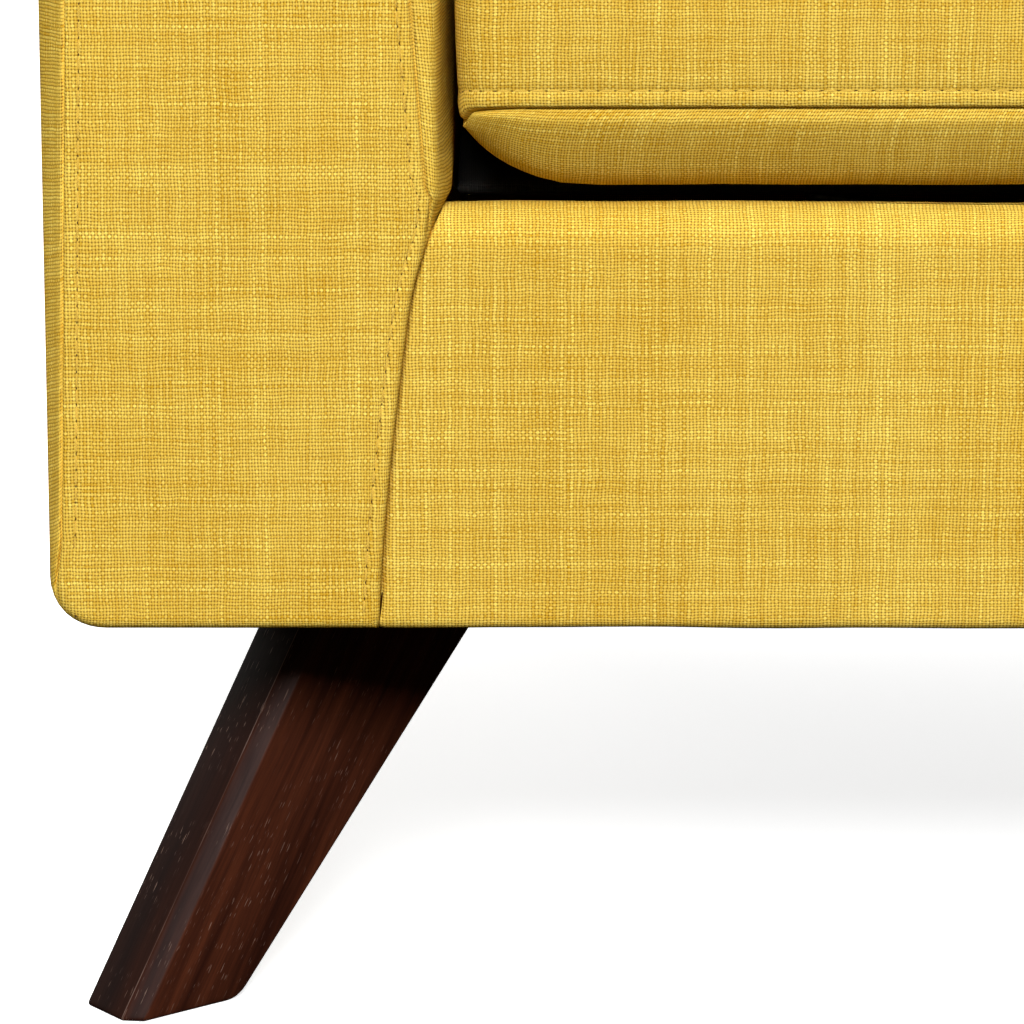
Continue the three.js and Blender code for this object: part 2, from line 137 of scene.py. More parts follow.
class Skin:
    """A closed mesh gathered from grids of points, each with its own weave coordinates in metres."""

    def __init__(self):
        self.points = []
        self.weave = []
        self.faces = []
        self.materials = []
        self.count = 0

    def grid(self, points, weave, material=0):
        points = np.asarray(points, float)
        rows, columns = points.shape[:2]
        index = self.count + np.arange(rows * columns).reshape(rows, columns)
        quads = np.stack([index[:-1, :-1], index[:-1, 1:], index[1:, 1:], index[1:, :-1]], axis=-1)
        self.points.append(points.reshape(-1, 3))
        self.weave.append(np.broadcast_to(np.asarray(weave, float), (rows, columns, 2)).reshape(-1, 2))
        self.faces.append(quads.reshape(-1, 4))
        self.materials.append(np.full(len(self.faces[-1]), material))
        self.count += rows * columns

    def cap(self, ring, weave=None):
        """Closes a ring, whose last point repeats its first, with a fan to its middle."""
        middle = np.broadcast_to(ring[:-1].mean(axis=0), ring.shape)
        spread = np.zeros((2, len(ring), 2)) if weave is None else np.stack([weave, weave + 0.02])
        self.grid(np.stack([ring, middle]), spread)

    def walls(self, one, other, weave, other_weave):
        """Joins two grids along their four edges."""
        for take in ((0, slice(None)), (-1, slice(None)), (slice(None), 0), (slice(None), -1)):
            self.grid(np.stack([one[take], other[take]]), np.stack([weave[take], other_weave[take]]))

    def build(self, name, materials, mirror=False, weave_shift=(0, 0), smooth=True, weld=WELD):
        points = np.concatenate(self.points)
        if mirror:
            points = points * np.array([-1, 1, 1])
        weave = np.concatenate(self.weave) + np.asarray(weave_shift)
        faces = np.concatenate(self.faces)
        mesh = bpy.data.meshes.new(name)
        mesh.from_pydata(points.tolist(), [], faces.tolist())
        layer = mesh.uv_layers.new(name="weave")
        layer.data.foreach_set("uv", weave[faces.reshape(-1)].astype(np.float32).reshape(-1))
        mesh.polygons.foreach_set("material_index", np.concatenate(self.materials))
        mesh.polygons.foreach_set("use_smooth", np.full(len(faces), smooth))
        for material in materials:
            mesh.materials.append(material)
        tidy = bmesh.new()
        tidy.from_mesh(mesh)
        bmesh.ops.remove_doubles(tidy, verts=tidy.verts, dist=weld)
        bmesh.ops.dissolve_degenerate(tidy, edges=tidy.edges, dist=weld)
        bmesh.ops.recalc_face_normals(tidy, faces=tidy.faces)
        tidy.to_mesh(mesh)
        tidy.free()
        piece = bpy.data.objects.new(name, mesh)
        bpy.context.scene.collection.objects.link(piece)
        return piece


def attach(piece, body, slot, *nodes):
    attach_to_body(piece, body)
    if nodes:
        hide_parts(*nodes)
    return piece


# ---- Materials ----

class Shader:
    """A node material, written as nested calls."""

    def __init__(self, name):
        self.material = bpy.data.materials.new(name)
        self.material.use_nodes = True
        self.tree = self.material.node_tree
        self.surface = self.tree.nodes["Principled BSDF"]

    def wire(self, value, socket):
        if isinstance(value, bpy.types.NodeSocket):
            self.tree.links.new(value, socket)
        elif value is not None:
            socket.default_value = value

    def node(self, kind, inputs=(), **settings):
        made = self.tree.nodes.new(kind)
        for key, value in settings.items():
            setattr(made, key, value)
        for key, value in dict(inputs).items():
            self.wire(value, made.inputs[key])
        return made

    def math(self, operation, *values):
        return self.node("ShaderNodeMath", enumerate(values), operation=operation).outputs[0]

    def separate(self, vector):
        return self.node("ShaderNodeSeparateXYZ", {0: vector}).outputs

    def combine(self, x=0.0, y=0.0, z=0.0):
        return self.node("ShaderNodeCombineXYZ", {0: x, 1: y, 2: z}).outputs[0]

    def noise(self, vector, scale, detail=2.0, roughness=0.5):
        inputs = {"Vector": vector, "Scale": scale, "Detail": detail, "Roughness": roughness}
        return self.node("ShaderNodeTexNoise", inputs).outputs["Fac"]

    def chance(self, value, seed):
        shifted = self.math("ADD", value, seed)
        inputs = {"W": shifted}
        return self.node("ShaderNodeTexWhiteNoise", inputs, noise_dimensions="1D").outputs["Value"]

    def spread(self, value, low, high, to_low=0.0, to_high=1.0):
        inputs = {"Value": value, "From Min": low, "From Max": high, "To Min": to_low, "To Max": to_high}
        return self.node("ShaderNodeMapRange", inputs).outputs[0]

    def blend(self, factor, a, b):
        made = self.node("ShaderNodeMix", {0: factor}, data_type="RGBA")
        self.wire(a, made.inputs["A"])
        self.wire(b, made.inputs["B"])
        return made.outputs["Result"]

    def bump(self, height, depth, strength=1.0, normal=None):
        inputs = {"Height": height, "Distance": depth, "Strength": strength}
        if normal is not None:
            inputs["Normal"] = normal
        return self.node("ShaderNodeBump", inputs).outputs[0]

    def weave(self):
        return self.node("ShaderNodeUVMap", uv_map="weave").outputs[0]

    def place(self):
        return self.node("ShaderNodeTexCoord").outputs["Object"]

    def set(self, **values):
        names = {
            "colour": "Base Color", "roughness": "Roughness", "metallic": "Metallic", "normal": "Normal",
            "sheen": "Sheen Weight", "sheen_roughness": "Sheen Roughness", "sheen_tint": "Sheen Tint",
            "coat": "Coat Weight", "coat_roughness": "Coat Roughness", "specular": "Specular IOR Level",
        }
        for key, value in values.items():
            self.wire(value, self.surface.inputs[names[key]])
        return self.material


def colour(red, green, blue):
    """A display colour, 0 to 255, as the linear colour that the shader takes."""
    def linear(value):
        value /= 255
        return value / 12.92 if value <= 0.04045 else ((value + 0.055) / 1.055) ** 2.4
    return (linear(red), linear(green), linear(blue), 1.0)


WARP_PITCH = 1.08 * MM
WEFT_PITCH = 1.25 * MM


def woven(name, gap, thread, light, pitch=(WARP_PITCH, WEFT_PITCH), sheen=0.005, relief=0.25 * MM):
    """Plain weave: threads of uneven tone that pass over and under. Where they sink between one another, and
    most where they cross, the `gap` colour is blended in as painted shade.
    """
    s = Shader(name)
    coordinates = s.weave()
    wavy = {"Vector": coordinates, "Scale": 60.0, "Detail": 5.0, "Roughness": 0.62}
    drift = s.node("ShaderNodeTexNoise", wavy).outputs["Color"]
    centred = s.node("ShaderNodeVectorMath", {0: drift, 1: (0.5, 0.5, 0.5)}, operation="SUBTRACT").outputs[0]
    scaled = s.node("ShaderNodeVectorMath", {0: centred, "Scale": 2.1 * MM}, operation="SCALE").outputs[0]
    moved = s.node("ShaderNodeVectorMath", {0: coordinates, 1: scaled}, operation="ADD").outputs[0]
    across, along = s.separate(moved)[:2]
    u = s.math("DIVIDE", across, pitch[0])
    v = s.math("DIVIDE", along, pitch[1])
    warp = s.math("FLOOR", u)
    weft = s.math("FLOOR", v)
    in_warp = s.math("MULTIPLY_ADD", s.math("SUBTRACT", u, warp), 2.0, -1.0)
    in_weft = s.math("MULTIPLY_ADD", s.math("SUBTRACT", v, weft), 2.0, -1.0)
    warp_square = s.math("MULTIPLY", in_warp, in_warp)
    weft_square = s.math("MULTIPLY", in_weft, in_weft)
    over = s.math("FLOORED_MODULO", s.math("ADD", warp, weft), 2.0)

    # The hollow where threads cross, deepening both the relief and the painted shade there.
    corner = s.math("POWER", s.math("MULTIPLY", warp_square, weft_square), 0.8)
    fuzz = s.noise(coordinates, 1500.0, 2.0)
    filled = s.math("SUBTRACT", 1.0, s.math("MULTIPLY", corner, s.spread(fuzz, 0.3, 0.7, 0.5, 1.1)))

    def top(around, lengthwise):
        rounded = s.math("SUBTRACT", 1.0, s.math("MULTIPLY", around, 0.62))
        arched = s.math("SUBTRACT", 1.0, s.math("MULTIPLY", lengthwise, 0.38))
        return s.math("MULTIPLY", s.math("MULTIPLY", rounded, arched), filled)

    def tone(thread_number, other, seed):
        steady = s.chance(thread_number, seed)
        stretched = s.combine(s.math("MULTIPLY", thread_number, 7.31), s.math("MULTIPLY", other, 0.07), seed)
        slub = s.spread(s.noise(stretched, 1.0), 0.34, 0.66)
        rare = s.math("MULTIPLY", s.spread(steady, 0.86, 0.97, 0.0, 0.13), slub)
        plain = s.math("MULTIPLY_ADD", steady, 0.25, s.math("MULTIPLY_ADD", slub, 0.2, 0.25))
        return s.math("ADD", plain, rare)

    warp_top = top(warp_square, weft_square)
    weft_top = top(weft_square, warp_square)
    height = s.math("ADD", s.math("MULTIPLY", over, warp_top),
                    s.math("MULTIPLY", s.math("SUBTRACT", 1.0, over), weft_top))
    warp_tone = tone(warp, v, 3.0)
    weft_tone = tone(weft, u, 41.0)
    thread_tone = s.math("ADD", s.math("MULTIPLY", over, warp_tone),
                         s.math("MULTIPLY", s.math("SUBTRACT", 1.0, over), weft_tone))
    patch = s.noise(coordinates, 9.0, 3.0)
    shade = s.math("ADD", s.math("MULTIPLY", thread_tone, 0.62), s.math("MULTIPLY", fuzz, 0.42))
    shade = s.math("ADD", shade, s.spread(patch, 0.3, 0.7, -0.04, 0.04))
    body = s.blend(s.spread(shade, 0.27, 0.79), thread, light)
    # Painted shade: the low parts of the weave take the gap colour.
    base = s.blend(s.spread(height, 0.1, 0.72), gap, body)
    raised = s.math("ADD", height, s.math("MULTIPLY", thread_tone, 0.3))
    return s.set(colour=base, roughness=s.spread(fuzz, 0.2, 0.8, 0.82, 0.96), specular=0.05,
                 sheen=sheen, sheen_roughness=0.45, sheen_tint=light, normal=s.bump(raised, relief, 0.7))


# Each cloth's first colour is the painted shade between its threads.
yellow_cloth = woven("yellow_weave", colour(100, 54, 0), colour(198, 146, 0), colour(255, 231, 114))
dust_cloth = woven("dust_weave", colour(6, 6, 6), colour(24, 23, 22), colour(46, 45, 43),
                   pitch=(0.8 * MM, 0.8 * MM), sheen=0.05, relief=0.08 * MM)
zip_cloth = woven("zip_tape_weave", colour(96, 66, 6), colour(176, 136, 30), colour(212, 176, 66),
                  pitch=(0.6 * MM, 0.9 * MM), sheen=0.1, relief=0.1 * MM)


def twisted_thread():
    s = Shader("stitch_thread")
    strand = s.separate(s.weave())
    twist = s.math("SINE", s.math("MULTIPLY", s.math("ADD", strand[0], strand[1]), 9000.0))
    worn = s.noise(s.weave(), 900.0)
    # Painted light and shade: the twist's ridges are lighter and its grooves darker; the worn noise adds
    # uneven tone.
    shade = s.math("ADD", s.spread(twist, -1, 1, 0, 0.6), s.math("MULTIPLY", worn, 0.4))
    return s.set(colour=s.blend(shade, colour(212, 160, 22), colour(252, 220, 96)), roughness=0.7,
                 sheen=0.05, normal=s.bump(twist, 0.1 * MM))


# A needle hole's dark disc: painted shade inside the hole.
def needle_hole_shade():
    s = Shader("needle_hole_shade")
    depth = s.noise(s.place(), 3000.0)
    return s.set(colour=s.blend(depth, colour(70, 44, 2), colour(110, 74, 8)), roughness=0.95)


LEG_THICKNESS = 31 * MM
LEG_CHAMFER = 6 * MM  # at the outer edge's front corner
LEG_EASE = 1.6 * MM  # at the other corners
NARROW_FACE = LEG_THICKNESS - LEG_CHAMFER - LEG_EASE


def leg_wood():
    """Dark stained wood: the weave layer's first number runs round the leg, its second along it.
    The narrow face comes first. The narrow face, and less strongly the chamfer, is painted darker as shade,
    and the line between them is painted pale as a highlight."""
    s = Shader("leg_wood")
    around, along = s.separate(s.weave())[:2]
    warped = s.math("MULTIPLY_ADD", s.noise(s.combine(around, s.math("MULTIPLY", along, 0.25), 0.0), 40.0),
                    6 * MM, around)
    grain = s.combine(warped, s.math("MULTIPLY", along, 0.045), 0.0)
    broad = s.noise(grain, 90.0, 3.0, 0.6)
    fine = s.noise(grain, 900.0, 3.0, 0.65)
    pore_place = s.combine(warped, s.math("MULTIPLY", along, 0.09), 0.3)
    pores = s.spread(s.noise(pore_place, 1500.0, 1.0), 0.665, 0.72)
    patchy = s.spread(s.noise(s.combine(around, along, 0.7), 26.0, 2.0), 0.42, 0.62)
    pores = s.math("MULTIPLY", pores, patchy)
    stain_and_painted_light = s.blend(s.spread(broad, 0.32, 0.7), colour(38, 15, 9), colour(84, 42, 25))
    stain_and_painted_light = s.blend(s.math("MULTIPLY", s.spread(fine, 0.4, 0.75), 0.55), stain_and_painted_light, colour(26, 11, 8))
    # Painted shade: the narrow face, and more faintly the chamfer, is darkened towards a cool dark brown.
    painted_side_shade = s.spread(around, NARROW_FACE - 0.3 * MM, NARROW_FACE + 0.3 * MM, 0.78, 0.5)
    past_chamfer = NARROW_FACE + 8 * MM
    painted_side_shade = s.math("MULTIPLY", painted_side_shade, s.spread(around, past_chamfer, past_chamfer + MM, 1.0, 0.0))
    stain_and_painted_light = s.blend(painted_side_shade, stain_and_painted_light, colour(20, 13, 13))
    # Painted highlight: a thin pale line along the narrow face's edge by the chamfer, uneven along its
    # length.
    painted_edge_highlight = s.math("ABSOLUTE", s.math("SUBTRACT", around, NARROW_FACE))
    painted_edge_highlight = s.spread(painted_edge_highlight, 0.1 * MM, 0.3 * MM, 0.6, 0.0)
    painted_edge_highlight = s.math("MULTIPLY", painted_edge_highlight, s.spread(patchy, 0.0, 0.5, 0.25, 1.0))
    stain_and_painted_light = s.blend(painted_edge_highlight, stain_and_painted_light, colour(126, 104, 96))
    base = s.blend(s.math("MULTIPLY", pores, 0.5), stain_and_painted_light, colour(150, 122, 108))
    height = s.math("SUBTRACT", s.math("MULTIPLY", fine, 0.4), pores)
    return s.set(colour=base, roughness=s.spread(fine, 0.3, 0.7, 0.42, 0.58), specular=0.07, coat=0.01,
                 coat_roughness=0.3, normal=s.bump(height, 0.12 * MM, 0.6))


def frame_wood():
    s = Shader("frame_wood")
    stretched = s.node("ShaderNodeMapping", {"Vector": s.place(), "Scale": (1.2, 9.0, 9.0)}).outputs[0]
    rings = s.noise(stretched, 6.0, 4.0, 0.6)
    fibres = s.noise(stretched, 60.0, 2.0)
    tint = s.math("ADD", s.math("MULTIPLY", rings, 0.7), s.math("MULTIPLY", fibres, 0.3))
    return s.set(colour=s.blend(s.spread(tint, 0.35, 0.65), colour(176, 138, 92), colour(222, 190, 146)),
                 roughness=s.spread(fibres, 0.3, 0.7, 0.65, 0.85), normal=s.bump(fibres, 0.4 * MM, 0.5))


def foam_core():
    s = Shader("cushion_foam")
    cells = s.node("ShaderNodeTexVoronoi", {"Vector": s.place(), "Scale": 700.0}).outputs["Distance"]
    age = s.noise(s.place(), 12.0)
    shade = s.math("ADD", s.math("MULTIPLY", cells, 0.7), s.math("MULTIPLY", age, 0.3))
    return s.set(colour=s.blend(shade, colour(240, 232, 205), colour(214, 200, 160)), roughness=0.95,
                 normal=s.bump(cells, 0.6 * MM))


def metal(name, dark, light, roughness, scale, stretch=(1, 1, 1)):
    s = Shader(name)
    stretched = s.node("ShaderNodeMapping", {"Vector": s.place(), "Scale": stretch}).outputs[0]
    wear = s.noise(stretched, scale, 4.0, 0.6)
    return s.set(colour=s.blend(s.spread(wear, 0.3, 0.7), dark, light), metallic=1.0,
                 roughness=s.spread(wear, 0.3, 0.7, roughness, roughness + 0.2),
                 normal=s.bump(wear, 0.05 * MM, 0.4))


def felt():
    s = Shader("glide_felt")
    fibres = s.noise(s.place(), 1800.0, 4.0, 0.7)
    return s.set(colour=s.blend(fibres, colour(26, 21, 19), colour(62, 54, 50)), roughness=0.97, sheen=0.3,
                 normal=s.bump(fibres, 0.4 * MM))


def floor_paint():
    s = Shader("pale_floor")
    mottle = s.noise(s.place(), 3.0, 3.0)
    s.surface.inputs["Emission Color"].default_value = (1, 1, 1, 1)
    s.surface.inputs["Emission Strength"].default_value = 0.8
    pale = s.blend(mottle, (0.86, 0.86, 0.86, 1), (0.9, 0.9, 0.9, 1))
    return s.set(colour=pale, roughness=0.9, specular=0.1)


thread_material = twisted_thread()
hole_shade_material = needle_hole_shade()
leg_material = leg_wood()
frame_material = frame_wood()
foam_material = foam_core()
spring_material = metal("spring_steel", colour(70, 74, 80), colour(120, 124, 128), 0.32, 240.0)
bolt_material = metal("bolt_steel", colour(150, 154, 158), colour(200, 202, 205), 0.25, 400.0, (1, 1, 0.1))
brass_material = metal("zip_brass", colour(150, 128, 70), colour(206, 186, 122), 0.3, 500.0)
staple_material = metal("staple_wire", colour(140, 142, 146), colour(196, 198, 200), 0.3, 600.0)
felt_material = felt()


def dress_cad_nodes():
    """The CAD pieces that stay as they are: timber, springs, bolts and glides."""
    wood = ("rail", "stretcher", "block", "board", "post")
    for name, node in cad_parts.items():
        if "spring" in name:
            material = spring_material
        elif "bolt" in name:
            material = bolt_material
        elif "glide" in name:
            material = felt_material
        elif "cover" not in name and any(word in name for word in wood):
            material = frame_material
        else:
            continue
        for place in node.material_slots:
            place.material = material


dress_cad_nodes()

# ---- Stitches ----

STITCH_PITCH = 6 * MM
STITCH_RADIUS = 0.42 * MM
HOLE_RADIUS = 0.42 * MM


class Stitching:
    """Rows of topstitching: a short thread between each pair of needle holes."""

    # Each section is (share of the length, share of the radius, lift).
    THREAD = ((0, 0.05, -0.6), (0.06, 0.7, 0), (0.25, 1, 0.35), (0.75, 1, 0.35), (0.94, 0.7, 0),
              (1, 0.05, -0.6))
    PIT = ((0, 0.05, 0), (0.2, 0.8, 0), (0.5, 1, 0), (0.8, 0.8, 0), (1, 0.05, 0))

    def __init__(self):
        self.skin = Skin()

    def bar(self, start, end, up, radius, height, sink, material, sections):
        """A closed spindle from start to end, `radius` wide to each side and `height` above its axis."""
        along = end - start
        length = np.linalg.norm(along)
        along = along / length
        side = np.cross(along, up)
        side /= np.linalg.norm(side)
        out = np.cross(side, along)
        rows = []
        for t, size, lift in sections:
            centre = start + along * length * t + out * (lift * height - sink)
            ring = [centre + radius * size * (side * math.cos(a) + out * math.sin(a) * height / radius)
                    for a in np.linspace(0, 2 * math.pi, 7)]
            rows.append(ring)
        rows = np.array(rows)
        weave = np.zeros((len(rows), 7, 2))
        weave[..., 0] = np.linspace(0, 2.6 * MM, 7)[None, :]
        weave[..., 1] = (np.array([t for t, _, _ in sections]) * length)[:, None]
        self.skin.grid(rows, weave, material)

    def row(self, line, ups):
        """Stitches along a line of points, with the cloth's outward direction at each."""
        length = run_length(line)[-1]
        count = max(2, round(length / STITCH_PITCH) + 1)
        joined = resample(np.hstack([line, ups]), count)
        places, ups = joined[:, :3], joined[:, 3:]
        for i in range(count - 1):
            up = ups[i] / np.linalg.norm(ups[i])
            step = places[i + 1] - places[i]
            step = step / np.linalg.norm(step)
            self.bar(places[i] + step * 0.6 * MM, places[i + 1] - step * 0.6 * MM, up,
                     STITCH_RADIUS, 0.3 * MM, 0.06 * MM, 0, self.THREAD)
            # The needle hole: a shallow disc in a dark material, as painted shade.
            self.bar(places[i] - step * 0.55 * MM, places[i] + step * 0.55 * MM, up,
                     HOLE_RADIUS, 0.16 * MM, 0.02 * MM, 1, self.PIT)

    def finish(self, name, body, mirror=False):
        piece = self.skin.build(name, [thread_material, hole_shade_material], mirror=mirror)
        return attach(piece, body, "yellow_cloth")


# ---- Upholstered boxes: an outline carried from one end panel to the other ----

class Outline:
    """A closed outline in (across, up), in four sides that meet at the middle of its rounded corners.
    `limit(up)` is the far side's place across, and `turns` are the corner radii, clockwise from the
    low near corner."""

    def __init__(self, low, high, limit, turns, counts):
        near_low, near_high, far_high, far_low = turns
        width = float(limit(high))
        foot = float(limit(low))
        heights = np.linspace(high - far_high, low + far_low, 240)
        far = np.column_stack([limit(heights), heights])
        self.low, self.high, self.limit = low, high, limit
        tall, wide = counts
        self.sides = [
            resample(np.vstack([
                arc((near_low, low + near_low), near_low, 225, 180),
                arc((near_high, high - near_high), near_high, 180, 135)]), tall + 1),
            resample(np.vstack([
                arc((near_high, high - near_high), near_high, 135, 90),
                arc((width - far_high, high - far_high), far_high, 90, 45)]), wide + 1),
            resample(np.vstack([
                arc((width - far_high, high - far_high), far_high, 45, 0),
                far,
                arc((foot - far_low, low + far_low), far_low, 0, -45)]), tall + 1),
            resample(np.vstack([
                arc((foot - far_low, low + far_low), far_low, -45, -90),
                arc((near_low, low + near_low), near_low, 270, 225)]), wide + 1),
        ]
        self.loop = np.vstack([side[:-1] for side in self.sides] + [self.sides[0][:1]])
        self.side = np.repeat([0, 1, 2, 3], [tall, wide, tall, wide])
        self.side = np.append(self.side, 3)
        self.tall, self.wide = tall, wide

    def core(self, inset):
        """The loop's partner on a plain four-sided shape that lies `inset` inside."""
        up = np.linspace(self.low + inset, self.high - inset, self.tall + 1)
        down = up[::-1]
        top = np.linspace(inset, float(self.limit(self.high)) - inset, self.wide + 1)
        bottom = np.linspace(float(self.limit(self.low + inset)) - inset, inset, self.wide + 1)
        parts = [
            np.column_stack([np.full(self.tall, inset), up[:-1]]),
            np.column_stack([top[:-1], np.full(self.wide, self.high - inset)]),
            np.column_stack([self.limit(down[:-1]) - inset, down[:-1]]),
            np.column_stack([bottom[:-1], np.full(self.wide, self.low + inset)]),
            np.array([[inset, self.low + inset]]),
        ]
        return np.vstack(parts)

    def inside(self, inset, depth):
        """The outline shrunk by `inset`, which may vary round it, towards the core at `depth`."""
        core = self.core(depth)
        part = (inset / depth)[:, None]
        points = self.loop + (core - self.loop) * part
        far = self.side == 2
        straight = mix(self.limit(self.loop[:, 1]), self.limit(core[:, 1]), part[:, 0])
        bend = self.limit(points[:, 1]) - straight
        points[far, 0] += bend[far]
        return points

    def panel(self, depth):
        """The grid that fills the core, as (rows up, columns across)."""
        up = np.linspace(self.low + depth, self.high - depth, self.tall + 1)
        share = np.linspace(0, 1, self.wide + 1)
        across = depth + (self.limit(up)[:, None] - 2 * depth) * share[None, :]
        return across, np.broadcast_to(up[:, None], across.shape)


STITCH_INSET = 5 * MM  # topstitching, in from its seam
END_SWELL = 0.6  # an end panel's share of the sides' unevenness
SEAM_STEPS = (0, 0.14, 0.28, 0.43, 0.58, 0.72, 0.84, 0.92, 0.97)
PANEL_STEPS = np.array([0, 0.35, 0.8, 1.5, 2.4, 3.3, 4.0, 4.5, 5.0, 5.5, 6.0, 7.0, 9.0, 12.0]) * MM


PANEL_SEAM_WIDTH = 0.45 * MM
PANEL_STITCH_WIDTH = 0.8 * MM


class EndPanel:
    """How an end panel's edge is made, round the outline: rounding, seam and topstitching.
    Where `slack` is 1 the cloth slopes away instead of turning tightly, and a higher `power` makes
    that slope begin more gently and end more steeply."""

    def __init__(self, seam, reach, depth, seam_groove, stitch_groove, core, slack=0, power=2):
        self.seam, self.reach, self.depth, self.slack, self.power = seam, reach, depth, slack, power
        self.seam_groove, self.stitch_groove, self.core = seam_groove, stitch_groove, core

    def rings(self):
        outside = [self.seam * step for step in SEAM_STEPS]
        inside = [self.seam + step for step in PANEL_STEPS]
        last = [mix(inside[-1], self.core, t) for t in (0.5, 1.0)]
        return outside + inside + last

    def height(self, inset):
        """How far the surface at `inset` lies behind the panel's plane."""
        share = inset / self.reach
        fall = self.depth * mix(1 - quarter(share), np.clip(1 - share, 0, 1) ** self.power, self.slack)
        beyond = inset - self.seam
        fall = fall + self.seam_groove * bump(beyond, PANEL_SEAM_WIDTH)
        fall = fall - 0.3 * self.stitch_groove * bump(beyond - 2.4 * MM, 1.4 * MM)
        return fall + self.stitch_groove * bump(beyond - STITCH_INSET, PANEL_STITCH_WIDTH)


def stuffed_prism(skin, outline, back_outline, front, rear, place, fronts, rears, swell, blend, steps,
                  panel_sides):
    """The closed cover of an upholstered box.
    `front` and `rear` are EndPanels; fronts(points) and rears(points) give the end planes at (across, up);
    place(across, up, along) turns an outline's point to a place in the room. `blend(along)` goes from the
    front outline to the rear one, and panel_sides marks the points where the end panel's cloth wraps on
    round the edge without a seam."""
    length = run_length(outline.loop)
    seam_ring = len(SEAM_STEPS)

    def end(shape, panel, plane, sign, wraps):
        rings, weaves = [], []
        for inset in panel.rings():
            points = shape.inside(inset, panel.core)
            fall = panel.height(inset)
            along = plane(points) + sign * (fall + END_SWELL * swell(points) * quarter(inset / panel.core))
            rings.append(place(points[:, 0], points[:, 1], along))
            weaves.append((points, inset, fall))
        rings = np.array(rings)
        flat = np.array([[points[:, 0], points[:, 1]] for points, _, _ in weaves]).transpose(0, 2, 1)
        wrap = flat.copy()
        falls = np.array([fall for _, _, fall in weaves])
        wrap[:, shape.side == 3, 1] -= falls[:, shape.side == 3]
        wrap[:, shape.side == 2, 0] += falls[:, shape.side == 2]
        body = np.stack([falls + panel.seam[None, :] - np.array([w[1] for w in weaves]),
                         np.broadcast_to(length, falls.shape)], axis=-1)
        skin.grid(rings[seam_ring:], wrap[seam_ring:])
        edges = np.flatnonzero(np.diff(wraps.astype(int))) + 1
        pieces = np.split(np.arange(len(wraps)), edges)
        for piece in pieces:
            columns = np.append(piece, piece[-1] + 1)
            columns = columns[columns < len(wraps)]
            if len(columns) < 2:
                continue
            chosen = wrap if wraps[piece[0]] else body
            skin.grid(rings[:seam_ring + 1][:, columns], chosen[:seam_ring + 1][:, columns])
        across, up = shape.panel(panel.core)
        points = np.stack([across.ravel(), up.ravel()], axis=1)
        along = plane(points) + sign * END_SWELL * swell(points)
        centre = place(points[:, 0], points[:, 1], along).reshape(across.shape + (3,))
        skin.grid(centre, np.stack([across, up], axis=-1))
        return rings[0], plane(shape.loop) + sign * panel.height(np.zeros(len(shape.loop)))

    no_wraps = np.zeros(len(back_outline.loop), bool)
    _, start = end(outline, front, fronts, 1, panel_sides)
    _, finish = end(back_outline, rear, rears, -1, no_wraps)
    rows, weaves = [], []
    for t in steps:
        along = mix(start, finish, t)
        share = blend(along)[:, None]
        points = mix(outline.loop, back_outline.loop, share)
        if 0 < t < 1:
            centre = points.mean(axis=0)
            outward = (points - centre) / np.linalg.norm(points - centre, axis=1)[:, None]
            points = points + outward * (swell(points) * quarter(min(t, 1 - t) / 0.12))[:, None] * 0.5
        rows.append(place(points[:, 0], points[:, 1], along))
        weaves.append(np.stack([along - fronts(points) + front.seam, length], axis=-1))
    skin.grid(np.array(rows), np.array(weaves))


# ---- Arms ----

ARM_TALL, ARM_WIDE = 120, 36  # steps up and across the outline
ARM_RUN = 0.8 * OUTER  # about the arm's length, for its steps from front to rear
CORE = 34 * MM  # from here in, an end panel is one plain grid
BEND_HEIGHT = 105 * MM  # up to here the fold beside the rail is nearly straight


def fold_line():
    """Where the front panel folds onto the rail's cloth, from the deck's level down: (across, up)."""
    t = np.linspace(1, 0, 24)[:, None]
    knee = np.array([FOOT_WIDTH + 9.9 * MM, BODY_BOTTOM + BEND_HEIGHT])
    pull = np.array([FOOT_WIDTH + 13.2 * MM, DECK_TOP - 20 * MM])
    top = np.array([ARM_WIDTH, DECK_TOP])
    curve = (1 - t) ** 2 * knee + 2 * t * (1 - t) * pull + t ** 2 * top
    down = np.linspace(1, 0, 30)[1:]
    straight = np.column_stack([FOOT_WIDTH + 9.9 * MM * down ** 1.42, BODY_BOTTOM + BEND_HEIGHT * down])
    return np.vstack([curve, straight])


FOLD = fold_line()[::-1]


def fold_width(up):
    return np.interp(up, FOLD[:, 1], FOLD[:, 0])


def full_width(up):
    return np.full_like(np.asarray(up, float), ARM_WIDTH)


# Lines of the arm's front edge, in mm: (height above the body's bottom, measure).
OUTER_SEAM = ((5.6, 0.8), (10, 0.9), (19, 3.6), (28, 4.9), (227, 9.8), (320, 11.5))
OUTER_REACH = ((5, 4.5), (28, 5.6), (227, 10.4), (320, 12))
OUTER_DEPTH = ((5, 4.5), (28, 8), (227, 13))
INNER_SEAM = ((-9, 135.5), (70, 129.6), (170, 128.5))  # (height above the deck, place across)
TOP_SEAM_OUTER, TOP_SEAM_INNER = 11.5 * MM, 15.5 * MM
FRONT_SEAM_GROOVE, FRONT_STITCH_GROOVE = 2.3 * MM, 0.5 * MM


def at_height(line, height):
    heights, measures = np.array(line).T * MM
    return np.interp(height, heights, measures)


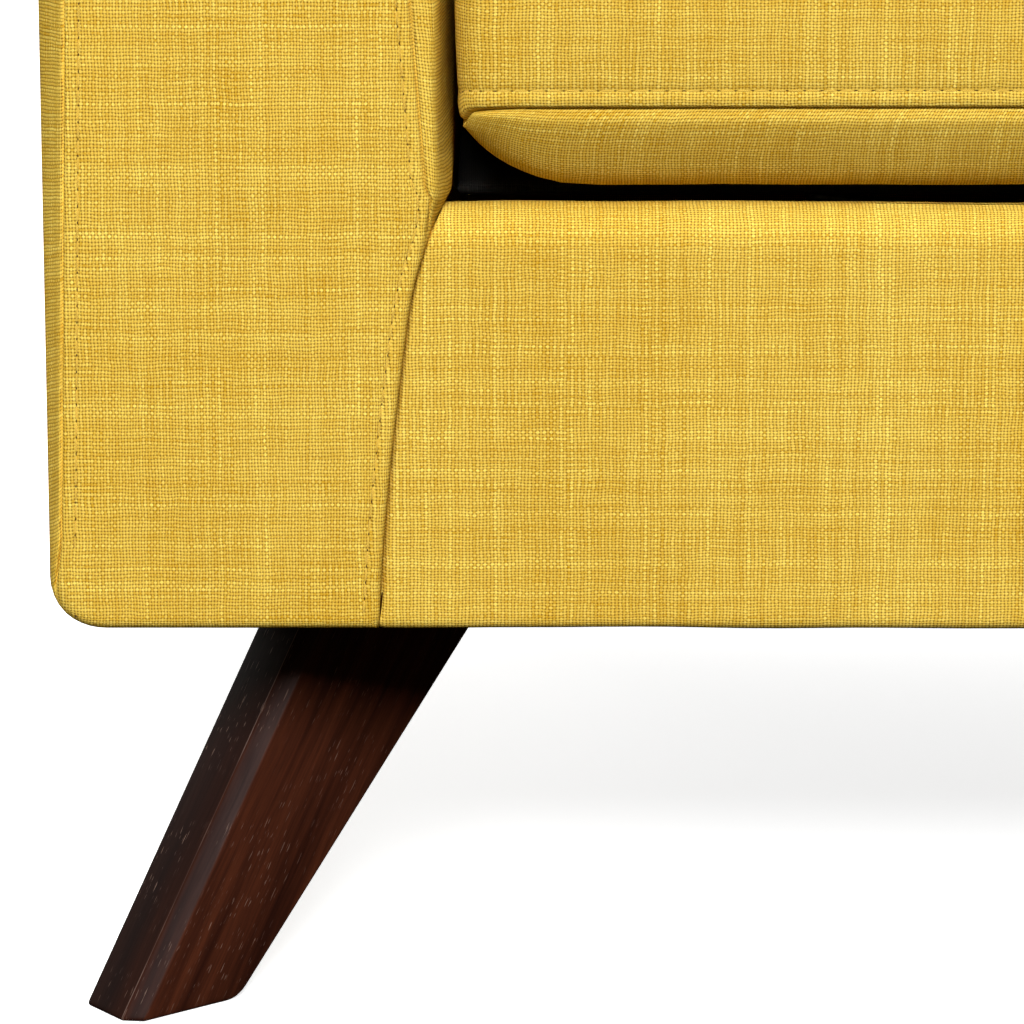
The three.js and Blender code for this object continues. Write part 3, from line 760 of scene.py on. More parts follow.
def arm_end_panel(shape):
    """The arm's front edge: a seam and topstitching down the outer side, over the top and down the
    inner side; below the deck the inner edge is a fold, and the bottom edge is a small rounding."""
    up = shape.loop[:, 1]
    side = shape.side
    height = up - BODY_BOTTOM
    above = up - DECK_TOP
    ones = np.ones(len(up))
    inner_seam = np.maximum(0.6 * MM, fold_width(up) - at_height(INNER_SEAM, above))
    top_seam = mix(TOP_SEAM_OUTER, TOP_SEAM_INNER, np.clip(shape.loop[:, 0] / ARM_WIDTH, 0, 1))
    seam = np.choose(side, [at_height(OUTER_SEAM, height), top_seam, inner_seam, 0.8 * MM * ones])
    above_fold = smoothstep(-22 * MM, -4 * MM, above)
    tight = smoothstep(2 * MM, 14 * MM, height)
    inner_reach = mix(mix(0.8 * MM, 2.2 * MM, tight), 6.5 * MM, above_fold)
    inner_depth = mix(mix(0.8 * MM, 3 * MM, tight), 14 * MM, above_fold)
    inner_depth = mix(inner_depth, 80 * MM, smoothstep(-8 * MM, 40 * MM, above))
    outer_reach = at_height(OUTER_REACH, height)
    reach = np.choose(side, [outer_reach, 10.5 * MM * ones, inner_reach, 4 * MM * ones])
    outer_depth = at_height(OUTER_DEPTH, height)
    depth = np.choose(side, [outer_depth, 12.5 * MM * ones, inner_depth, 4.5 * MM * ones])
    low_fade = smoothstep(8 * MM, 16 * MM, height)
    seam_end = smoothstep(-16 * MM, -10 * MM, above)
    seam_groove = FRONT_SEAM_GROOVE * np.choose(side, [low_fade, ones, seam_end, 0 * ones])
    stitch_end = smoothstep(2 * MM, 12 * MM, height)
    stitch_groove = FRONT_STITCH_GROOVE * np.choose(side, [low_fade, ones, stitch_end, 0 * ones])
    slack = np.choose(side, [smoothstep(20 * MM, 45 * MM, height), 0 * ones, above_fold, 0 * ones])
    power = np.where(side == 2, 2, 1.12)
    return EndPanel(seam, reach, depth, seam_groove, stitch_groove, CORE, slack, power)


def plain_end_panel(shape, seam=8.5 * MM, reach=8 * MM, core=CORE):
    ones = np.ones(len(shape.loop))
    return EndPanel(seam * ones, reach * ones, reach * ones, 1.3 * MM * ones, 0 * ones, core)


def arm_place(across, up, along):
    """The outer edge stands a little proud of the frame, as its rounding lies behind the front."""
    proud = 1.2 * MM * (1 - smoothstep(0, 30 * MM, across))
    return np.stack([across - proud - OUTER, along, up], axis=-1)


def back_steps(length, near=(0, 2 * MM, 5 * MM, 10 * MM, 18 * MM), step=22 * MM):
    return graded(length, near, step) / length


def make_arms():
    front_shape = Outline(CLOTH_BOTTOM, ARM_TOP, fold_width, (19 * MM, 14 * MM, 14 * MM, 0.4 * MM),
                          (ARM_TALL, ARM_WIDE))
    rear_shape = Outline(CLOTH_BOTTOM, ARM_TOP, full_width, (19 * MM, 14 * MM, 14 * MM, 4 * MM),
                         (ARM_TALL, ARM_WIDE))
    front = arm_end_panel(front_shape)
    rear = plain_end_panel(rear_shape)
    folded = (front_shape.side == 2) & (front_shape.loop[:, 1] < DECK_TOP - 20 * MM)
    wraps = (front_shape.side == 3) | folded
    hidden_from = FRONT + 64 * MM  # behind here the rail and cushion hide the outline's change
    for name, mirror, seed in (("left", False, 1.0), ("right", True, 5.0)):
        skin = Skin()

        def swell(points):
            return 0.9 * MM * wander(points[:, 0] * 2, points[:, 1], seed)

        stuffed_prism(
            skin, front_shape, rear_shape, front, rear, arm_place,
            fronts=lambda p: np.full(len(p), FRONT),
            rears=lambda p: rear_y(p[:, 1]),
            swell=swell,
            blend=lambda along: smoothstep(hidden_from, hidden_from + 80 * MM, along),
            steps=back_steps(ARM_RUN), panel_sides=wraps)
        piece = skin.build(f"arm_upholstery_{name}", [yellow_cloth], mirror, (0.0031 * seed, 0.0127 * seed))
        attach(piece, "sofa", "yellow_cloth", f"arm_cover_{name}")
        arm_stitching(name, mirror, front_shape, front, swell)


def arm_stitching(name, mirror, shape, panel, swell):
    """Topstitching just inside the front panel's seam. It runs straight down to the lower edge."""
    inset = panel.seam + STITCH_INSET
    points = shape.inside(inset, panel.core)
    along = FRONT + panel.height(inset) + END_SWELL * swell(points) * quarter(inset / panel.core)
    line = arm_place(points[:, 0], points[:, 1], along)
    tall, wide = ARM_TALL, ARM_WIDE
    over = line[:2 * tall + wide + 1]
    straight_from = BODY_BOTTOM + 30 * MM
    rising = over[:tall + 1]
    outer = rising[rising[:, 2] > straight_from]
    foot = outer[0] + np.array([-0.2 * MM, 0, BODY_BOTTOM + 4.5 * MM - outer[0, 2]])
    falling = over[tall:]
    inner = falling[falling[:, 2] > BODY_BOTTOM + 4.5 * MM]
    path = np.vstack([[foot], outer, inner])
    stitching = Stitching()
    stitching.row(path, np.tile([0.0, -1.0, 0.0], (len(path), 1)))
    stitching.finish(f"arm_topstitch_{name}", "sofa", mirror)


make_arms()

# ---- Front rail ----

RAIL_FACE = rail_low.y
RAIL_ROUND = 14 * MM
RAIL_FOOT_ROUND = 4 * MM
RAIL_THICKNESS = 3 * MM
TUCK_STEPS = np.array([0, 0.3, 0.6, 0.9, 1.3, 1.8, 2.5, 3.5, 5, 8, 13]) * MM
RAIL_CREST = DECK_TOP - 4.8 * MM
GUTTER_DROP = 9 * MM  # behind the crest the cloth is pulled down, where the deck is sewn on


def rail_profile():
    """The rail cloth's closed section in (y, up), from the gutter forward and down."""
    low, high, rear = CLOTH_BOTTOM - 0.6 * MM, RAIL_CREST, rail_high.y - 8 * MM
    inner = RAIL_FACE + 19 * MM
    back = np.linspace(1, 0, 14)
    crest = RAIL_FACE + RAIL_ROUND
    top = np.column_stack([mix(crest, rear, back), high - GUTTER_DROP * back ** 1.5])
    upper = arc((crest, high - RAIL_ROUND), RAIL_ROUND, 90, 180, 12)
    face_heights = np.linspace(high - 18 * MM, low + 6 * MM, 34)
    face = np.column_stack([np.full(len(face_heights), RAIL_FACE), face_heights])
    lower = arc((RAIL_FACE + RAIL_FOOT_ROUND, low + RAIL_FOOT_ROUND), RAIL_FOOT_ROUND, 180, 270, 7)
    under = high - GUTTER_DROP - RAIL_THICKNESS
    hidden = np.array([[inner, low], [inner, under], [rear, under], [rear, high - GUTTER_DROP]])
    return np.vstack([top, upper, face, lower, hidden])


def make_rail():
    profile = rail_profile()
    length = run_length(profile)
    ahead = np.roll(profile, -1, axis=0) - np.roll(profile, 1, axis=0)
    ahead[0] = profile[1] - profile[0]
    ahead[-1] = profile[-1] - profile[-2]
    inward = np.column_stack([-ahead[:, 1], ahead[:, 0]])
    inward /= np.linalg.norm(inward, axis=1)[:, None]
    visible = np.arange(len(profile)) < len(profile) - 4
    rows, weaves = [], []
    for i, (y, up) in enumerate(profile):
        tucked = 1.2 * MM * smoothstep(-26 * MM, -6 * MM, up - DECK_TOP)
        start = -OUTER + float(fold_width(up)) - tucked
        x = start + graded(-2 * start, TUCK_STEPS, count=138)
        edge = np.minimum(x - start, -start - x)
        width = mix(1.25 * MM, 0.7 * MM, np.clip((up - BODY_BOTTOM) / (DECK_TOP - BODY_BOTTOM), 0, 1))
        low_share = smoothstep(0, 12 * MM, up - CLOTH_BOTTOM)
        depth = mix(0.4 * MM, 3.2 * MM, low_share) * bump(edge, width) * visible[i]
        depth = depth + 0.5 * MM * wander(x, up, 2.0) * visible[i] * smoothstep(0, 30 * MM, edge)
        rows.append(np.stack([x, y + inward[i, 0] * depth, up + inward[i, 1] * depth], axis=-1))
        weaves.append(np.stack([np.full_like(x, -length[i]), x], axis=-1))
    skin = Skin()
    rows = np.array(rows)
    skin.grid(rows, np.array(weaves))
    for end in (0, -1):
        cap = rows[:, end]
        middle = np.broadcast_to(cap.mean(axis=0), cap.shape)
        skin.grid(np.stack([cap, middle]), np.zeros((2, len(cap), 2)))
    piece = skin.build("front_rail_upholstery", [yellow_cloth])
    attach(piece, "sofa", "yellow_cloth", "front_rail_cover")


make_rail()

# ---- Seat deck ----

def rounded_slab(skin, low, high, edge, step, crown):
    """A closed slab with rounded rims, whose top rises by `crown` from its edges inward."""
    size = np.array(high) - np.array(low)
    near = edge * np.array([0, 0.04, 0.15, 0.32, 0.6, 1])
    xs = graded(size[0], near, step)
    ys = graded(size[1], near, step)
    gx, gy = np.meshgrid(xs, ys)
    rim = np.minimum(np.minimum(gx, size[0] - gx), np.minimum(gy, size[1] - gy))
    dome = crown * smoothstep(edge, 110 * MM, rim)
    fall = min(edge, size[2] * 0.49) * (1 - quarter(rim / edge))
    plan = np.stack([gx + low[0], gy + low[1]], axis=-1)
    top = np.stack([gx + low[0], gy + low[1], high[2] - fall + dome], axis=-1)
    bottom = np.stack([gx + low[0], gy + low[1], low[2] + fall], axis=-1)
    skin.grid(top, plan)
    skin.grid(bottom, plan)
    skin.walls(top, bottom, plan, plan + 0.01)


DECK_EDGE_DROP = 5 * MM  # the deck's edges lie this far below the cushions' undersides


def make_deck():
    """Black lining stretched over the springs. It rises from its edges to the cushions' undersides."""
    skin = Skin()
    low, high = np.array(deck_low), np.array(deck_high)
    high[2] -= DECK_EDGE_DROP
    rounded_slab(skin, low, high, 6 * MM, 20 * MM, DECK_EDGE_DROP)
    piece = skin.build("seat_deck_cloth", [dust_cloth])
    attach(piece, "sofa", "dust_cloth", "seat_deck")


make_deck()

# ---- Back ----

def make_back():
    """The fixed back, whose outline in (forward of the rear face, up) is carried from side to side."""
    def thickness(up):
        return np.full_like(np.asarray(up, float), BACK_THICKNESS)

    shape = Outline(CLOTH_BOTTOM, BACK_TOP, thickness, (4 * MM, 20 * MM, 24 * MM, 4 * MM), (110, 26))
    side = -back_low.x

    def place(across, up, along):
        return np.stack([along, rear_y(up, across), up], axis=-1)

    def swell(points):
        above = smoothstep(0, 50 * MM, points[:, 1] - BODY_BOTTOM)
        return 1.2 * MM * wander(points[:, 0] * 2, points[:, 1], 3.3) * above

    ends = plain_end_panel(shape, core=30 * MM)
    skin = Skin()
    stuffed_prism(
        skin, shape, shape, ends, ends, place,
        fronts=lambda p: np.full(len(p), -side),
        rears=lambda p: np.full(len(p), side),
        swell=swell,
        blend=lambda along: np.zeros(len(along)),
        steps=back_steps(2 * side), panel_sides=np.zeros(len(shape.loop), bool))
    piece = skin.build("back_upholstery", [yellow_cloth])
    attach(piece, "sofa", "yellow_cloth", "back_cover")


make_back()

# ---- Legs ----

LEG_TURN = math.radians(38.2)  # a leg's breadth is turned this far from the sofa's length
LEG_BREADTH = 50.2 * MM  # at the foot
OUTER_SLOPE, INNER_SLOPE = 0.607, 0.873  # how far the two edges run inward for each unit of height
LEG_LEAN = 1.25  # length along the leg for each unit of height
GRAIN_SHIFT = 0.37  # each leg's grain comes from another stretch of wood
CORNER_EASE = 0.7 * MM
LEG_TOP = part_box("leg_front_left")[1].z
LEG_CORNER = Vector((-OUTER + 23.1 * MM, FRONT + 23.2 * MM, 0))


def leg_section(breadth, inset):
    """A blade's section in (along, across), with chamfered corners whose edges are slightly eased."""
    thick, ease, b = LEG_THICKNESS, LEG_EASE, breadth
    corners = np.array([(0, ease - thick), (0, -LEG_CHAMFER), (LEG_CHAMFER, 0), (b - ease, 0), (b, -ease),
                        (b, ease - thick), (b - ease, -thick), (ease, -thick)])
    eased = []
    for k, corner in enumerate(corners):
        before = corners[k - 1] - corner
        after = corners[(k + 1) % len(corners)] - corner
        start = corner + before / np.linalg.norm(before) * CORNER_EASE
        finish = corner + after / np.linalg.norm(after) * CORNER_EASE
        eased += [start, (start + 2 * corner + finish) / 4, finish]
    eased = np.array(eased)
    middle = np.array([breadth / 2, -thick / 2])
    size = np.array([breadth / 2, thick / 2])
    return middle + (eased - middle) * (size - inset) / size


def make_legs():
    foot = 0.2 * MM
    near_foot = np.array([0, 0.2, 0.6, 1.2, 2.0, 3.2, 4.6]) * MM
    risen = np.append(near_foot, np.linspace(6 * MM, LEG_TOP - foot, 26))
    insets = 1.3 * MM * (1 - quarter(risen / (1.6 * MM)))
    rounded = 4.6 * MM * (1 - quarter(risen / (4.6 * MM)))  # the foot's inner corner, worn round
    along = np.array([math.cos(LEG_TURN), math.sin(LEG_TURN), 0])
    across = np.array([math.sin(LEG_TURN), -math.cos(LEG_TURN), 0])
    rows, weaves = [], []
    for up, inset, worn in zip(foot + risen, insets, rounded):
        breadth = LEG_BREADTH + (INNER_SLOPE - OUTER_SLOPE) * up - worn
        section = leg_section(breadth, inset)
        section = np.vstack([section, section[:1]])
        points = (np.array(LEG_CORNER) + np.outer(section[:, 0] + OUTER_SLOPE * up, along)
                  + np.outer(section[:, 1], across))
        points[:, 2] = up
        rows.append(points)
        weaves.append(np.stack([run_length(section), np.full(len(section), up * LEG_LEAN)], axis=-1))
    rows = np.array(rows)
    weaves = np.array(weaves)
    for end, x_sign, y_flip in (("front_left", 1, False), ("front_right", -1, False),
                                ("back_left", 1, True), ("back_right", -1, True)):
        skin = Skin()
        points = rows.copy()
        if y_flip:
            points[..., 1] = REAR_FOOT + FRONT - points[..., 1]
        skin.grid(points, weaves + np.array([0, GRAIN_SHIFT * (2 * y_flip + x_sign)]))
        for level in (0, -1):
            skin.cap(points[level], weaves[level])
        piece = skin.build(f"wooden_leg_{end}", [leg_material], mirror=x_sign < 0)
        attach(piece, "sofa", "leg_wood", f"leg_{end}")


make_legs()

# ---- Dust cover ----

def make_dust_cover():
    """A thin black sheet stapled under the body, a little inside its edges."""
    drop = 0.9 * MM
    rim = 14 * MM
    x = OUTER - rim
    front, rear = FRONT + rim, rear_y(BODY_BOTTOM, rim)
    skin = Skin()
    xs = np.linspace(-x, x, 90)
    ys = np.linspace(front, rear, 40)
    gx, gy = np.meshgrid(xs, ys)
    edge = np.minimum(x - np.abs(gx), np.minimum(gy - front, rear - gy))
    uneven = 0.4 * MM * wander(gx * 2, gy * 2, 4.0) * smoothstep(0, 40 * MM, edge)
    sag = 2.2 * MM * smoothstep(0, 250 * MM, edge) + uneven
    under = CLOTH_BOTTOM - drop - sag
    plan = np.stack([gx, gy], axis=-1)
    low = np.stack([gx, gy, under], axis=-1)
    high = np.stack([gx, gy, under + 0.7 * MM], axis=-1)
    skin.grid(low, plan)
    skin.grid(high, plan)
    skin.walls(low, high, plan, plan)
    sheet = skin.build("dust_cover_cloth", [dust_cloth])
    attach(sheet, "sofa", "dust_cloth", "dust_cover")
    staples = make_staples(x - 6 * MM, front + 6 * MM, rear - 6 * MM, CLOTH_BOTTOM - drop)


def make_staples(x, front, rear, up):
    """Wire staples along the dust cover's edge, whose legs run up into the timber."""
    skin = Skin()
    half = 5 * MM
    leg = 1.5 * MM
    radius = 0.5 * MM
    spacing = 55 * MM

    def staple(centre, direction):
        side = np.cross(direction, (0, 0, 1))
        start, finish, rise = centre - direction * half, centre + direction * half, np.array([0, 0, leg])
        path = [start + rise, start, finish, finish + rise]
        rows = []
        for k, point in enumerate(path):
            lean = 1 if k in (0, 3) else 0
            ring = [point + side * radius * math.cos(a)
                    + (direction if lean else np.array([0, 0, 1])) * radius * math.sin(a)
                    for a in np.linspace(0, 2 * math.pi, 7)]
            rows.append(ring)
        rows = [np.broadcast_to(path[0], (7, 3))] + rows + [np.broadcast_to(path[-1], (7, 3))]
        skin.grid(np.array(rows), np.zeros((len(rows), 7, 2)))

    for px in np.arange(-x + spacing, x, spacing):
        for py in (front, rear):
            staple(np.array([px, py, up - 0.5 * MM]), np.array([1.0, 0, 0]))
    for py in np.arange(front + spacing / 2, rear, spacing):
        for px in (-x, x):
            staple(np.array([px, py, up - 0.5 * MM]), np.array([0, 1.0, 0]))
    piece = skin.build("dust_cover_staples", [staple_material])
    return attach(piece, "sofa", "bolt_steel")


make_dust_cover()

# ---- Loose cushions ----

SEAM_STITCH = 6.4 * MM
SEAM_DEPTH = 2.4 * MM
SEAM_WIDTH = 0.42 * MM
ZIP_SUNK = 4.6 * MM  # how deep the zip lies in its opening
EDGE_NEAR = np.array([0, 0.5, 1.1, 1.9, 3.0, 4.6, 6.8, 9.6, 13, 17, 22, 28, 36]) * MM
COARSE_NEAR = np.array([0, 7, 15, 26, 40]) * MM
BAND_NEAR = np.array([0, 0.5, 1.1, 1.9, 3.2, 4.8, 5.8, 6.4, 7.0, 8.2, 11, 16]) * MM
ZIP_HALF = 350 * MM  # half the length of a zip's opening
CORNER_DIP = 6.5 * MM  # how far a seam's corner is pulled away from the cushion's other panel
CORNER_REACH = 4.2 * MM
CORNER_BEHIND = 6 * MM  # the lowest point lies this far round on the side


class Cushion:
    """A boxed cushion, lying flat: two crowned panels joined by a band, its middle at the origin.
    `lips` are how far the seams lie within the panels' crests, below and above, and `rims` are the widths
    of the panels' rounded edges at the sides and at the ends. `corner` is the plan's corner radius,
    `crown` is how far the upper panel rises from its edges to its middle, and `band_swell` is how far
    the band bulges at the sides and at the ends."""

    def __init__(self, width, depth, height, lips, rims, corner, crown, band_swell):
        self.width, self.depth, self.height = width, depth, height
        self.lips, self.rims, self.corner, self.crown = lips, rims, corner, crown
        self.band_swell = band_swell

    def edge(self, share, length):
        """A side's line at `share` of its length: (along, inset), rounded at both corners."""
        start = self.corner * (1 - math.sqrt(0.5))
        along = mix(start, length - start, share)
        near = np.minimum(along, length - along)
        short = np.maximum(0, self.corner - near)
        inset = self.corner - np.sqrt(np.maximum(0, self.corner ** 2 - short ** 2))
        return along, inset

    def outline_point(self, u, v):
        """Plan position of panel coordinates (u, v), each from 0 to 1."""
        along_u, inset_u = self.edge(u, self.width)
        along_v, inset_v = self.edge(v, self.depth)
        start = self.corner * (1 - math.sqrt(0.5))
        x = mix(inset_v, self.width - inset_v, u)
        y = mix(inset_u, self.depth - inset_u, v)
        x = x + along_u - mix(start, self.width - start, u)
        y = y + along_v - mix(start, self.depth - start, v)
        return x - self.width / 2, y - self.depth / 2

    def panel(self, us, vs, top):
        u, v = np.meshgrid(us / self.width, vs / self.depth)
        x, y = self.outline_point(u, v)
        lip = self.lips[1] if top else self.lips[0]
        rim_side, rim_end = self.rims
        rise = quarter(np.minimum(u, 1 - u) * self.width / rim_side)
        end = np.clip(np.minimum(v, 1 - v) * self.depth / rim_end, 0, 1)
        rise = rise * mix(quarter(end), np.sin(np.pi / 2 * end), 0.6)
        crown = self.crown if top else 0
        z = self.height / 2 - lip + lip * rise - crown * (1 - np.sin(np.pi * u) * np.sin(np.pi * v)) * rise
        z = z if top else -z
        dip = CORNER_DIP * self.corner_pull(u, v)
        return np.stack([x, y, z + dip if top else z - dip], axis=-1)

    def corner_pull(self, u, v):
        near_u = np.minimum(u, 1 - u) * self.width
        near_v = np.minimum(v, 1 - v) * self.depth
        past = near_v - CORNER_BEHIND
        return np.exp(-(near_u + np.where(past > 0, 0.25 * past, -past)) / CORNER_REACH)

    def loop(self, us, vs):
        """The band's turn round the plan, as panel coordinates, closed."""
        u, v = us / self.width, vs / self.depth
        front = np.column_stack([u[:-1], np.zeros(len(u) - 1)])
        right = np.column_stack([np.ones(len(v) - 1), v[:-1]])
        rear = np.column_stack([u[::-1][:-1], np.ones(len(u) - 1)])
        left = np.column_stack([np.zeros(len(v) - 1), v[::-1][:-1]])
        return np.vstack([front, right, rear, left, front[:1]])

    def band(self, us, vs, ws):
        """The band between the seams; ws run up from the lower seam. Also its outward directions."""
        turn = self.loop(us, vs)
        x, y = self.outline_point(turn[:, 0], turn[:, 1])
        plan = np.column_stack([x, y])
        ahead = np.roll(plan[:-1], -1, axis=0) - np.roll(plan[:-1], 1, axis=0)
        ahead = np.vstack([ahead, ahead[:1]])
        out = np.column_stack([ahead[:, 1], -ahead[:, 0]])
        out /= np.linalg.norm(out, axis=1)[:, None]
        band_height = self.height - sum(self.lips)
        share = ws / band_height
        facing = np.abs(out[:, 1])
        swell = mix(self.band_swell[0], self.band_swell[1], facing) * (out[:, 1] < 0.5)
        dip = CORNER_DIP * self.corner_pull(turn[:, 0], turn[:, 1])
        low = -self.height / 2 + self.lips[0] - dip
        high = self.height / 2 - self.lips[1] + dip
        bulge = (4 * share * (1 - share))[:, None] ** 0.8 * swell[None, :]
        points = np.empty((len(ws), len(plan), 3))
        points[..., :2] = plan[None] + out[None] * bulge[..., None]
        points[..., 2] = (low + dip)[None, :] + (high - low - 2 * dip)[None, :] * share[:, None]
        fade = np.exp(-np.minimum(ws, band_height - ws) / (7 * MM)) * np.sign(share - 0.5)
        points[..., 2] += fade[:, None] * dip[None, :]
        return points, np.column_stack([out, np.zeros(len(out))]), run_length(plan)

    def band_height(self):
        return self.height - sum(self.lips)


def bilinear(field, rows, columns, at_rows, at_columns):
    """Values of a grid's field at other rows and columns."""
    across = np.stack([
        np.stack([np.interp(at_columns, columns, field[i, :, k]) for k in range(3)], axis=-1)
        for i in range(len(rows))])
    return np.stack([
        np.stack([np.interp(at_rows, rows, across[:, j, k]) for k in range(3)], axis=-1)
        for j in range(len(at_columns))], axis=1)


CLOTH_FRAMES = 20


def inflate(points, faces, pressure, cap):
    """Blows the closed mesh up as cloth and gives how far each point moved, held under `cap`."""
    mesh = bpy.data.meshes.new("inflate")
    mesh.from_pydata(points.tolist(), [], faces.tolist())
    work = bpy.data.objects.new("inflate", mesh)
    bpy.context.scene.collection.objects.link(work)
    cloth = work.modifiers.new("cloth", "CLOTH")
    settings = cloth.settings
    settings.quality = 6
    settings.mass = 0.25
    settings.tension_stiffness = 12
    settings.compression_stiffness = 12
    settings.shear_stiffness = 4
    settings.bending_stiffness = 0.6
    settings.use_pressure = True
    settings.uniform_pressure_force = pressure
    settings.effector_weights.gravity = 0
    cloth.collision_settings.use_collision = False
    cloth.point_cache.frame_start = 1
    cloth.point_cache.frame_end = CLOTH_FRAMES
    scene = bpy.context.scene
    for step in range(1, CLOTH_FRAMES + 1):
        scene.frame_set(step)
    grown = work.evaluated_get(bpy.context.evaluated_depsgraph_get()).to_mesh()
    result = np.empty(len(points) * 3)
    grown.vertices.foreach_get("co", result)
    scene.frame_set(1)
    bpy.data.objects.remove(work)
    bpy.data.meshes.remove(mesh)
    moved = result.reshape(-1, 3) - points
    moved -= moved.mean(axis=0)
    size = np.linalg.norm(moved, axis=1)[:, None]
    return moved * cap / (cap + size)


class Puff:
    """The cloth simulation of one cushion shape, on a coarse copy, as fields over its panels and band."""

    def __init__(self, cushion, pressure, cap):
        self.us = graded(cushion.width, COARSE_NEAR, 17 * MM)
        self.vs = graded(cushion.depth, COARSE_NEAR, 17 * MM)
        self.ws = np.linspace(0, cushion.band_height(), 6)
        lower = cushion.panel(self.us, self.vs, False)
        upper = cushion.panel(self.us, self.vs, True)
        band, _, lengths = cushion.band(self.us, self.vs, self.ws)
        self.lengths = lengths
        blocks = [lower, upper, band]
        points = np.concatenate([block.reshape(-1, 3) for block in blocks])
        keys = {}
        remap = np.empty(len(points), int)
        kept = []
        for i, point in enumerate(points):
            key = tuple(np.round(point / (0.02 * MM)).astype(int))
            if key not in keys:
                keys[key] = len(kept)
                kept.append(i)
            remap[i] = keys[key]
        faces = []
        start = 0
        for block, flip in zip(blocks, (True, False, False)):
            rows, columns = block.shape[:2]
            index = remap[start:start + rows * columns].reshape(rows, columns)
            quads = np.stack([index[:-1, :-1], index[:-1, 1:], index[1:, 1:], index[1:, :-1]], axis=-1)
            quads = quads.reshape(-1, 4)
            faces.append(quads[:, ::-1] if flip else quads)
            start += rows * columns
        moved = inflate(points[kept], np.concatenate(faces), pressure, cap)[remap]
        self.fields = []
        start = 0
        for block in blocks:
            size = block.shape[0] * block.shape[1]
            self.fields.append(moved[start:start + size].reshape(block.shape))
            start += size

    def panel(self, top, us, vs):
        return bilinear(self.fields[1 if top else 0], self.vs, self.us, vs, us)

    def band(self, ws, lengths):
        scaled = lengths * self.lengths[-1] / lengths[-1]
        return bilinear(self.fields[2], self.ws, self.lengths, ws, scaled)


def drawn_in(cushion, gap):
    """The factor that draws the cloth towards the cushion's middle at `gap` from a seam."""
    return 1 - SEAM_DEPTH * bump(gap, SEAM_WIDTH) / (cushion.width / 3)


def make_cushion(name, cushion, puff, place, body, limits, zip_side, mirror, seed, nodes):
    """One cushion cover with its seams, topstitching and zip opening. `place` moves points from the
    lying cushion to its place, and limits(points) keeps them off its neighbours."""
    us = graded(cushion.width, EDGE_NEAR, 14 * MM)
    vs = graded(cushion.depth, EDGE_NEAR, 14 * MM)
    tall = cushion.band_height()
    ws = graded(tall, BAND_NEAR, 9 * MM)
    zip_rows = np.array([-6.4, -5.4, -4.9, -4.4, 0, 4.4, 4.9, 5.4, 6.4]) * MM + tall / 2
    ws = np.unique(np.concatenate([ws[np.abs(ws - tall / 2) > 8 * MM], zip_rows]))
    skin = Skin()

    for top in (False, True):
        points = cushion.panel(us, vs, top)
        points = points + puff.panel(top, us, vs)
        rim = np.minimum(np.minimum(us, cushion.width - us)[None, :],
                         np.minimum(vs, cushion.depth - vs)[:, None])
        points[..., :2] *= drawn_in(cushion, rim)[..., None]
        uneven = wander(points[..., 0] * 1.6, points[..., 1] * 1.6, seed + top)
        points[..., 2] += 0.5 * MM * uneven * smoothstep(0, 40 * MM, rim)
        middle = points[len(vs) // 2], points[:, len(us) // 2]
        weave = np.stack(np.meshgrid(run_length(middle[0]), run_length(middle[1])), axis=-1)
        skin.grid(limits(place(points)), weave)

    band, out, lengths = cushion.band(us, vs, ws)
    band = band + puff.band(ws, lengths)
    seam_gap = np.minimum(ws, tall - ws)[:, None]
    turn = cushion.loop(us, vs)
    at_zip = (turn[:, 1] == 1) if zip_side == "rear" else (turn[:, 1] == 0)
    zip_x = (turn[:, 0] - 0.5) * cushion.width
    opening = at_zip[None, :] * smoothstep(ZIP_HALF + 4 * MM, ZIP_HALF, np.abs(zip_x))[None, :]
    opening = opening * smoothstep(5.4 * MM, 4.8 * MM, np.abs(ws - tall / 2))[:, None]
    sunk = 0.5 * MM * bump(seam_gap - SEAM_STITCH, 0.9 * MM)
    sunk = sunk - 0.35 * MM * bump(seam_gap - 3.2 * MM, 1.6 * MM)
    sunk = sunk + ZIP_SUNK * opening
    band[..., :2] *= np.broadcast_to(drawn_in(cushion, seam_gap), band.shape[:2])[..., None]
    band = band - out[None] * sunk[..., None]
    weave = np.stack([np.broadcast_to(ws[:, None], band.shape[:2]),
                      np.broadcast_to(lengths, band.shape[:2])], axis=-1)
    placed = limits(place(band))
    skin.grid(placed, weave)
    piece = skin.build(f"{name}_upholstery", [yellow_cloth], mirror, (0.0023 * seed, 0.0171 * seed))
    attach(piece, body, "yellow_cloth", *nodes)

    stitching = Stitching()
    outward = place(band + out[None] * 0.01) - place(band)
    for height in (SEAM_STITCH, tall - SEAM_STITCH):
        row = int(np.argmin(np.abs(ws - height)))
        stitching.row(placed[row], outward[row])
    stitching.finish(f"{name}_topstitch", body, mirror)


def make_foam(name, cushion, place, body, mirror, node):
    """The foam core, a little smaller than the cover all round."""
    core = Cushion(cushion.width - 16 * MM, cushion.depth - 16 * MM, cushion.height - 16 * MM, cushion.lips,
                   cushion.rims, cushion.corner, cushion.crown, (0, 0))
    us = graded(core.width, COARSE_NEAR, 30 * MM)
    vs = graded(core.depth, COARSE_NEAR, 30 * MM)
    ws = np.linspace(0, core.band_height(), 5)
    skin = Skin()
    for top in (False, True):
        skin.grid(place(core.panel(us, vs, top)), np.stack(np.meshgrid(us, vs), axis=-1))
    band, _, lengths = core.band(us, vs, ws)
    skin.grid(place(band), np.stack(np.meshgrid(lengths, ws), axis=-1))
    piece = skin.build(f"{name}_foam_core", [foam_material], mirror)
    attach(piece, body, "cushion_foam", node)


